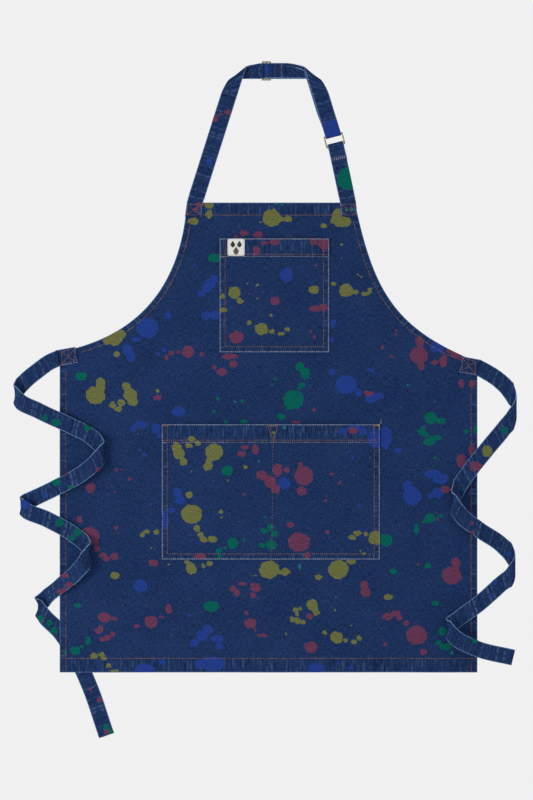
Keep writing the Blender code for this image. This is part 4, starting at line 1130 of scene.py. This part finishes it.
def loop_round(bar, forward, normal, width, radius, steps=14):
    """Rungs that go half way round a bar, from its front, past it along forward, to its back."""
    across = normal.cross(forward) * (width / 2)
    rungs = []
    for i in range(steps + 1):
        turn = math.pi * i / steps
        out = normal * math.cos(turn) + forward * math.sin(turn)
        rungs.append((bar + out * radius - across, bar + out * radius + across, out))
    return rungs


def fold_start(foot, lean):
    """Where a leaning leg's middle line reaches the roll that it folds over, and the roll's axes."""
    up = heading(lean)
    level = Vector((1.0 if foot.x < 0 else -1.0, 0.0, 0.0))
    crease = (up + level).normalized()
    beyond = (up - crease * up.dot(crease)).normalized()
    start = at_height(foot, lean, NECK_Z - beyond.z * math.pi * FOLD_RADIUS)
    return start, up, crease, beyond


def corner_fold(foot, lean, width, inside=0.0, steps=26):
    """Rungs of the soft fold in which a leaning leg turns over its crease to run level behind.

    The tape wraps a roll whose axis is the crease, so its rungs lie along the crease.
    inside moves the tape towards the roll's axis, for a second layer.
    """
    start, up, crease, beyond = fold_start(foot, lean)
    across = FRONT.cross(up)
    rungs = []
    for i in range(steps + 1):
        turn = math.pi * i / steps
        over = FOLD_RADIUS * turn
        out = beyond * math.sin(turn) + FRONT * math.cos(turn)
        roll = start + BACK * FOLD_RADIUS + out * (FOLD_RADIUS - inside)
        ends = []
        for side in (-width / 2, width / 2):
            run = (over - side * across.dot(beyond)) / up.dot(beyond)
            ends.append(roll + crease * (run * up.dot(crease) + side * across.dot(crease)))
        rungs.append((ends[0], ends[1], out))
    return rungs


def eased(rungs, foot, lean, inside=0.0):
    """The same rungs, with the corner between a leg's outer edge and the loop's top rounded."""
    outward = FRONT.cross(heading(lean)) * (1.0 if foot.x < 0 else -1.0)
    middle_z = TAPE_WIDTH - EASE_RADIUS
    edge_reach = outward.dot(foot) + TAPE_WIDTH / 2 - EASE_RADIUS
    middle_x = (edge_reach - outward.z * middle_z) / outward.x
    radius = EASE_RADIUS - 2 * inside

    def draw_in(point):
        arm = Vector((point.x - middle_x, 0.0, point.z - middle_z))
        share = arm.x / outward.x
        if share <= 0 or arm.z <= share * outward.z or arm.length <= radius:
            return point
        return point + arm * (radius / arm.length - 1.0)

    return [(draw_in(one), draw_in(other), normal) for one, other, normal in rungs]


def turned_back(rungs):
    """The same rungs, travelled the other way."""
    return [(other, one, normal) for one, other, normal in rungs[::-1]]


def filled(rungs, spacing=0.004):
    """The same rungs with more between them, so that wear and paint have points to lie on."""
    fuller = []
    for here, after in zip(rungs, rungs[1:]):
        gap = ((after[0] + after[1]) / 2 - (here[0] + here[1]) / 2).length
        steps = max(1, round(gap / spacing))
        for i in range(steps):
            t = i / steps
            one, other = here[0].lerp(after[0], t), here[1].lerp(after[1], t)
            fuller.append((one, other, here[2].lerp(after[2], t).normalized()))
    return fuller + [rungs[-1]]


def tab_rungs(foot, lean):
    """The sewn end of a strap: it leans less than the strap, and its edges are cut level."""
    middle = at_height(foot, lean, TOP_Z).x
    slope = math.cos(lean) * STRAP_TAB * 0.45
    half = Vector((TAPE_WIDTH / 2, 0.0, 0.0))
    low = Vector((middle - slope, STRAP_Y, TOP_Z - STRAP_TAB))
    high = Vector((middle, STRAP_Y, TOP_Z - GAP))
    return [(low + half, low - half, FRONT), (high + half, high - half, FRONT)]


def sewn_tape_face(x, z):
    """The front of the tape's ends that are sewn to the apron."""
    return STRAP_Y - WEBBING / 2


def crossed_box(corners):
    """Stitches round four corners and from corner to corner, on a sewn end of tape."""
    a, b, c, d = corners
    return stitches_along([a, b, c, d, a, c], sewn_tape_face) + stitches_along([b, d], sewn_tape_face)


def swing_with_bib(made):
    """Tape that crosses from the neck strap to the bib bends in the short stretch between."""
    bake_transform(made, "neck_strap", "apron", (0.0, STRAP_Y, LEFT_FOOT.z), (0.0, STRAP_Y, TOP_Z))


def leg_and_fold(foot, lean, width, behind=0.0):
    """The top of a leg, and the fold in which it turns to run level."""
    base = at_height(foot, lean, NECK_Z - 0.07) + BACK * behind
    rungs = straight(base, base + heading(lean) * 0.03, FRONT, width)
    return rungs + corner_fold(foot, lean, width, inside=behind)


def build_long_tape(tape):
    """The tape from the bib over both corners of the loop, down to the ring and round its bar."""
    rungs = tab_rungs(LEFT_FOOT, LEFT_LEAN)
    rungs += straight(LEFT_FOOT, LEFT_FOOT + heading(LEFT_LEAN) * 0.01, FRONT, TAPE_WIDTH)[:1]
    rungs += leg_and_fold(LEFT_FOOT, LEFT_LEAN, TAPE_WIDTH)
    level = [Vector((x, NECK_Y, NECK_Z)) for x in LEVEL_ENDS]
    rungs += straight(*level, BACK, TAPE_WIDTH)
    rungs += turned_back(leg_and_fold(UPPER_FOOT, UPPER_LEAN, TAPE_WIDTH))
    rungs = eased(eased(filled(rungs), LEFT_FOOT, LEFT_LEAN), UPPER_FOOT, UPPER_LEAN)
    rungs += loop_round(UPPER_BAR, RING_DOWN, FRONT, TAPE_WIDTH, LOOP_RADIUS)
    replaced = ["neck_strap_long", "strap_end_left"]
    swing_with_bib(ribbon("neck_strap_long_tape", filled(rungs), tape, replaced))


def build_return_layer(tape):
    """The tape's second layer, from the ring back up behind the leg towards the slider."""
    level_end = Vector((STRAP_END_X - 0.008, NECK_Y - LAYER, NECK_Z))
    rungs = straight(level_end, level_end + Vector((0.01, 0.0, 0.0)), BACK, RETURN_WIDTH)[:1]
    aside = Vector((RETURN_ASIDE, 0.0, 0.0))
    second = turned_back(leg_and_fold(UPPER_FOOT, UPPER_LEAN, RETURN_WIDTH, LAYER))
    rungs += [(one + aside, other + aside, normal) for one, other, normal in second]
    rungs = eased(filled(rungs), UPPER_FOOT, UPPER_LEAN, inside=LAYER)
    foot = UPPER_BAR + BACK * LOOP_RADIUS - RING_DOWN * GAP
    rungs += straight(foot, foot + RING_DOWN, FRONT, RETURN_WIDTH)[:1]
    made = ribbon("neck_strap_return_tape", filled(rungs), tape, ["neck_strap_return"])
    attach(made, "neck_strap")


def build_short_strap(tape):
    """The short strap, from the bib up to the ring's lower bar, round it and down behind."""
    rungs = tab_rungs(RIGHT_FOOT, RIGHT_LEAN)
    rungs += straight(RIGHT_FOOT, SHORT_TOP, FRONT, TAPE_WIDTH)
    rungs += loop_round(LOWER_BAR, -RING_DOWN, FRONT, TAPE_WIDTH, SHORT_RADIUS)
    tail = LOWER_BAR + BACK * SHORT_RADIUS
    rungs += straight(tail, tail + RING_DOWN * LOOP_TAIL, BACK, TAPE_WIDTH)[1:]
    replaced = ["neck_strap_short", "strap_end_right"]
    swing_with_bib(ribbon("neck_strap_short_tape", filled(rungs), tape, replaced))


def build_strap_stitches(thread, pale):
    """A crossed box where each strap meets the bib, and a row below the ring."""
    inset = 0.0028
    for side, foot, lean in (("left", LEFT_FOOT, LEFT_LEAN), ("right", RIGHT_FOOT, RIGHT_LEAN)):
        low, high = tab_rungs(foot, lean)
        corners = [(low[0].x - inset, low[0].z + inset), (low[1].x + inset, low[1].z + inset)]
        corners += [(high[1].x + inset, high[1].z - inset), (high[0].x - inset, high[0].z - inset)]
        pairs = crossed_box(corners)
        made = thread_rows(f"strap_end_thread_{side}", pairs, thread, [f"strap_end_stitch_{side}"])
        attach(made, "apron")
    ahead = (RIGHT_FOOT - SHORT_TOP).normalized()
    across = FRONT.cross(ahead) * (TAPE_WIDTH / 2 - 0.0015)
    pairs = []
    for run in (0.0205, 0.0229):
        middle = SHORT_TOP + ahead * run
        ends = [(p.x, p.z) for p in (middle - across, middle + across)]
        pairs += stitches_along(ends, lambda x, z: middle.y - WEBBING / 2)
    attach(thread_rows("neck_strap_seam_thread", pairs, pale, radius=0.0006), "neck_strap")


def build_ring(brass):
    """The wire ring that joins the short strap to the long one."""
    up = heading(RING_LEAN)
    across = FRONT.cross(up)
    half_wide, half_high = TAPE_WIDTH / 2 + 0.0006 + BAR / 2, (RING_WINDOW + BAR) / 2
    corner = 0.0018
    line = []
    for quarter, (a, b) in enumerate(((1, 1), (-1, 1), (-1, -1), (1, -1))):
        for step in range(6):
            turn = math.radians(90 * quarter + 18 * step)
            wide = a * (half_wide - corner) + corner * math.cos(turn)
            high = b * (half_high - corner) + corner * math.sin(turn)
            line.append(RING_MIDDLE + across * wide + up * high)
    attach(tube("ring_wire", line, BAR / 2, brass, ["square_ring"], True, 14), "ring")


def build_slider(brass):
    """The buckle that sets the loop's length, with a middle bar at its front."""
    low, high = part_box("slider_buckle")
    wall, end_wall, bar, rounding = 0.0016, 0.0022, 0.0024, 0.0005
    mesh = bmesh.new()
    for z in (low.z, high.z - wall):
        rounded_bar(mesh, (low.x, low.y, z), (high.x, high.y, z + wall), rounding)
    inner_low, inner_high = low.z + wall / 2, high.z - wall / 2
    for x in (low.x, high.x - end_wall):
        rounded_bar(mesh, (x, high.y - wall, inner_low), (x + end_wall, high.y, inner_high), rounding)
    x = SLIDER_X - bar / 2
    rounded_bar(mesh, (x, low.y, inner_low), (x + bar, low.y + wall, inner_high), rounding)
    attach(from_bmesh("slider_frame", mesh, brass, ["slider_buckle"]), "slider")


def build_strap_end(tape, thread):
    """The strap's end, folded round the slider's middle bar and sewn down."""
    low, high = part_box("slider_strap_end")
    half = Vector((0.0, 0.0, TAPE_WIDTH / 2 - 0.001))
    front_y, thickness, radius = (low.y + high.y) / 2, 0.0019, 0.0024
    turn_at = Vector((SLIDER_X, front_y + radius, NECK_Z))
    rungs = []
    for i in range(9):
        turn = math.radians(-60 + 150 * i / 8)
        out = Vector((-math.cos(turn), -math.sin(turn), 0.0))
        middle = turn_at + out * radius
        rungs.append((middle - half, middle + half, out))
    end = Vector((high.x, front_y, NECK_Z))
    rungs.append((end - half, end + half, FRONT))
    made = ribbon("strap_end_tape", filled(rungs), tape, ["slider_strap_end"], thickness)
    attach(made, "slider")
    seam_x, inset = 0.0212, 0.0018
    row = [(seam_x, inset), (seam_x, TAPE_WIDTH - inset)]
    pairs = stitches_along(row, lambda x, z: front_y - thickness / 2)
    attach(thread_rows("strap_end_thread", pairs, thread), "slider")


# ---- waist ties ---------------------------------------------------------------------------
# Stops along a tie: across, up, how far in front of its sewn end, and, where it isn't
# HALF_SQUARE, how square the tape stands to its line, from 0, upright, to 1.
HALF_SQUARE = 0.5
LONGEST_RUNG = 1.35  # in tape widths, where a leaning tape is cut across upright
TIE_LEFT_STOPS = [
    (-0.3520, -0.4690, 0.0000),
    (-0.3665, -0.4755, 0.0000, 1.0),
    (-0.3840, -0.4880, 0.0000),
    (-0.4050, -0.5050, 0.0000),
    (-0.4185, -0.5195, 0.0015),
    (-0.4234, -0.5290, 0.0080),  # left turn
    (-0.4175, -0.5385, 0.0145),
    (-0.3840, -0.5570, 0.0110),
    (-0.3332, -0.5810, 0.0050),
    (-0.3000, -0.5985, 0.0005),
    (-0.2845, -0.6120, 0.0010),
    (-0.2770, -0.6240, 0.0090),  # right turn
    (-0.2850, -0.6385, 0.0170),
    (-0.3080, -0.6590, 0.0150),
    (-0.3584, -0.6870, 0.0070),
    (-0.3950, -0.7045, 0.0000),
    (-0.4090, -0.7110, 0.0010),
    (-0.4138, -0.7155, 0.0055),  # left turn
    (-0.4090, -0.7205, 0.0100),
    (-0.3700, -0.7385, 0.0080),
    (-0.3250, -0.7650, 0.0005),
    (-0.3060, -0.7810, 0.0010),
    (-0.2995, -0.7915, 0.0085),  # right turn
    (-0.3040, -0.8040, 0.0160),
    (-0.3215, -0.8270, 0.0130),
    (-0.3495, -0.8505, 0.0020),  # comes off the panel, to turn behind it
    (-0.3740, -0.8720, -0.0160),
    (-0.3864, -0.8860, -0.0140),  # left turn
    (-0.3800, -0.8965, -0.0105),
    (-0.3500, -0.9283, -0.0110),
    (-0.3255, -0.9650, -0.0110, 1.0),
    (-0.3020, -1.0150, -0.0110, 1.0),
    (-0.2717, -1.1020, -0.0110, 1.0),
]
TIE_RIGHT_STOPS = [
    (0.3520, -0.4850, 0.0000),
    (0.3668, -0.4930, 0.0000, 1.0),
    (0.3820, -0.5030, 0.0010),
    (0.3990, -0.5190, 0.0030),
    (0.4085, -0.5330, 0.0050, 0.15),
    (0.4138, -0.5500, 0.0085, 0.0),  # right turn, in which the tape leans away
    (0.4085, -0.5665, 0.0120, 0.15),
    (0.3927, -0.5872, 0.0130),
    (0.3624, -0.6241, 0.0105),
    (0.3315, -0.6648, 0.0030),
    (0.3165, -0.6890, 0.0010),
    (0.3089, -0.7085, 0.0090),  # left turn
    (0.3200, -0.7295, 0.0170),
    (0.3517, -0.7554, 0.0150),
    (0.3886, -0.7806, 0.0110),
    (0.4050, -0.7985, 0.0100, 0.15),
    (0.4114, -0.8150, 0.0120, 0.0),  # right turn
    (0.4046, -0.8318, 0.0140, 0.15),
    (0.3886, -0.8461, 0.0120),
    (0.3517, -0.8796, 0.0060),
    (0.3180, -0.9050, 0.0010),
    (0.3000, -0.9195, 0.0085),  # left turn
    (0.3115, -0.9350, 0.0160),
    (0.3450, -0.9528, 0.0160, 1.0),
    (0.4084, -0.9689, 0.0160, 1.0),
]


def squareness(stop):
    return stop[3] if len(stop) > 3 else HALF_SQUARE


def tie_line(stops, spacing=0.003):
    """A smooth line through a tie's stops, as (point, squareness) sampled about every spacing."""
    points = [Vector((stop[0], TIE_Y - stop[2], stop[1])) for stop in stops]
    runs = [(after - here).length for here, after in zip(points, points[1:])]
    slopes = [(after - here) / run for here, after, run in zip(points, points[1:], runs)]
    pulls = [slopes[0]]
    for i in range(1, len(runs)):
        both = slopes[i - 1] * runs[i] + slopes[i] * runs[i - 1]
        pulls.append(both / (runs[i - 1] + runs[i]))
    pulls.append(slopes[-1])
    line = []
    for i, run in enumerate(runs):
        pieces = max(1, round(run / spacing))
        for k in range(pieces):
            t = k / pieces
            s2, s3 = t * t, t**3
            point = points[i] * (2 * s3 - 3 * s2 + 1) + pulls[i] * (run * (s3 - 2 * s2 + t))
            point += points[i + 1] * (3 * s2 - 2 * s3) + pulls[i + 1] * (run * (s3 - s2))
            line.append((point, squareness(stops[i]) * (1 - t) + squareness(stops[i + 1]) * t))
    line.append((points[-1], squareness(stops[-1])))
    return line


def tie_rungs(line):
    """Rungs of a tie. The tape stands on edge, with rungs between upright and square."""
    up = Vector((0.0, 0.0, 1.0))
    rungs = []
    for i, (here, square_share) in enumerate(line):
        along = (line[min(i + 1, len(line) - 1)][0] - line[max(i - 1, 0)][0]).normalized()
        normal = along.cross(up).normalized()
        square = normal.cross(along)
        rung = up.lerp(square, square_share).normalized()
        half = rung * (TAPE_WIDTH / 2 * min(LONGEST_RUNG, 1.0 / rung.dot(square)))
        rungs.append((here - half, here + half, normal))
    return rungs


def build_ties(tape, thread):
    """Two long ties, each sewn to the panel with a crossed box of stitches."""
    tilt, inset = 0.006, 0.0030
    for side, sign, stops in (("left", -1, TIE_LEFT_STOPS), ("right", 1, TIE_RIGHT_STOPS)):
        made = ribbon(f"tie_{side}_tape", tie_rungs(tie_line(stops)), tape, [f"tie_{side}"])
        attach(made, f"tie_{side}")
        x, z = stops[0][:2]
        inner, outer = x - sign * 0.0305, x - sign * 0.0005
        under = Vector((outer + sign * 0.003, STRAP_Y, z))
        rungs = straight(under, Vector((inner, STRAP_Y, z + tilt)), FRONT, TAPE_WIDTH)
        made = ribbon(f"tie_end_{side}_tape", filled(rungs), tape, [f"tie_end_{side}"])
        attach(made, "apron")
        near, far = outer - sign * (inset + 0.002), inner + sign * inset
        high, low = z + TAPE_WIDTH / 2 - inset, z - TAPE_WIDTH / 2 + inset
        pairs = crossed_box([(near, low), (near, high), (far, high + tilt), (far, low + tilt)])
        made = thread_rows(f"tie_end_thread_{side}", pairs, thread, [f"tie_end_stitch_{side}"])
        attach(made, "apron")


# ---- stage --------------------------------------------------------------------------------
def build_camera():
    """Straight on, far off, and level with the middle of the apron."""
    data = bpy.data.cameras.new("camera")
    data.lens, data.sensor_width = 135.0, 36.0
    camera = bpy.data.objects.new("camera", data)
    bpy.context.scene.collection.objects.link(camera)
    framed_height, middle = 1.3430, Vector((-0.0034, 0.0, -0.5389))
    away = framed_height * data.lens / data.sensor_width
    camera.location = middle + FRONT * away
    camera.rotation_euler = (math.radians(90), 0.0, 0.0)
    bpy.context.scene.camera = camera


def build_light(name, place, target, size, power):
    data = bpy.data.lights.new(name, "AREA")
    data.size = size
    data.energy = power
    made = bpy.data.objects.new(name, data)
    bpy.context.scene.collection.objects.link(made)
    made.location = place
    made.rotation_mode = "QUATERNION"
    made.rotation_quaternion = (Vector(target) - Vector(place)).to_track_quat("-Z", "Y")


def build_stage():
    """A plain pale floor, a soft key from the left and the pale light of the room."""
    data = bpy.data.meshes.new("floor")
    wide, near, far, level = 2.2, -2.0, 1.6, CAD_BOX[0].z - 0.55
    corners = [(-wide, near, level), (wide, near, level), (wide, far, level), (-wide, far, level)]
    data.from_pydata(corners, [], [(0, 1, 2, 3)])
    look = Look("floor_paint", 0.9)
    look.colour((0.82, 0.82, 0.82))
    data.materials.append(look.made)
    floor = bpy.data.objects.new("floor", data)
    bpy.context.scene.collection.objects.link(floor)
    world = bpy.data.worlds.new("room")
    world.use_nodes = True
    background = world.node_tree.nodes["Background"]
    background.inputs["Color"].default_value = (0.875, 0.875, 0.875, 1.0)
    background.inputs["Strength"].default_value = 1.0
    bpy.context.scene.world = world
    build_light("key", (-2.3, -2.4, -1.0), (0.0, 0.0, -0.5), 1.1, 62.0)
    build_light("fill", (2.2, -3.0, 0.6), (0.0, 0.0, -0.5), 2.4, 16.0)
    bpy.context.scene.view_settings.view_transform = "Standard"


def ride_the_rest():
    """Whatever has no body yet is sewn to the apron; it is everything but straps and ties."""
    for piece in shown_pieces():
        if body_of(piece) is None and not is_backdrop(piece):
            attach(piece, "apron")


def main():
    denim = denim_look("denim", 0.22, 0.45)
    tape = denim_look("denim_tape", 0.34, 0.80)
    thread = thread_look("topstitch_thread", (0.26, 0.112, 0.042))
    pale_thread = thread_look("pale_thread", (0.33, 0.30, 0.31))
    ink = thread_look("label_ink", (0.035, 0.035, 0.030))
    brass = brass_look()
    build_panel(denim)
    build_hems(denim)
    build_edge_stitches(thread)
    build_pocket(BIB, BIB_POCKET_PAINT, denim, ["bib_pocket_hem"])
    build_pocket(WAIST, WAIST_POCKET_PAINT, denim, ["waist_pocket_hem_left", "waist_pocket_hem_right"])
    build_pocket_stitches(BIB, thread, pale_thread)
    build_pocket_stitches(WAIST, thread, pale_thread)
    build_divider(thread)
    build_bartacks(thread)
    build_thread_tail(pale_thread)
    build_label(label_look(), ink, pale_thread)
    build_long_tape(tape)
    build_return_layer(tape)
    build_short_strap(tape)
    build_strap_stitches(thread, pale_thread)
    build_ring(brass)
    build_slider(brass)
    build_strap_end(tape, thread)
    build_ties(tape, thread)
    ride_the_rest()
    build_stage()
    build_camera()


main()
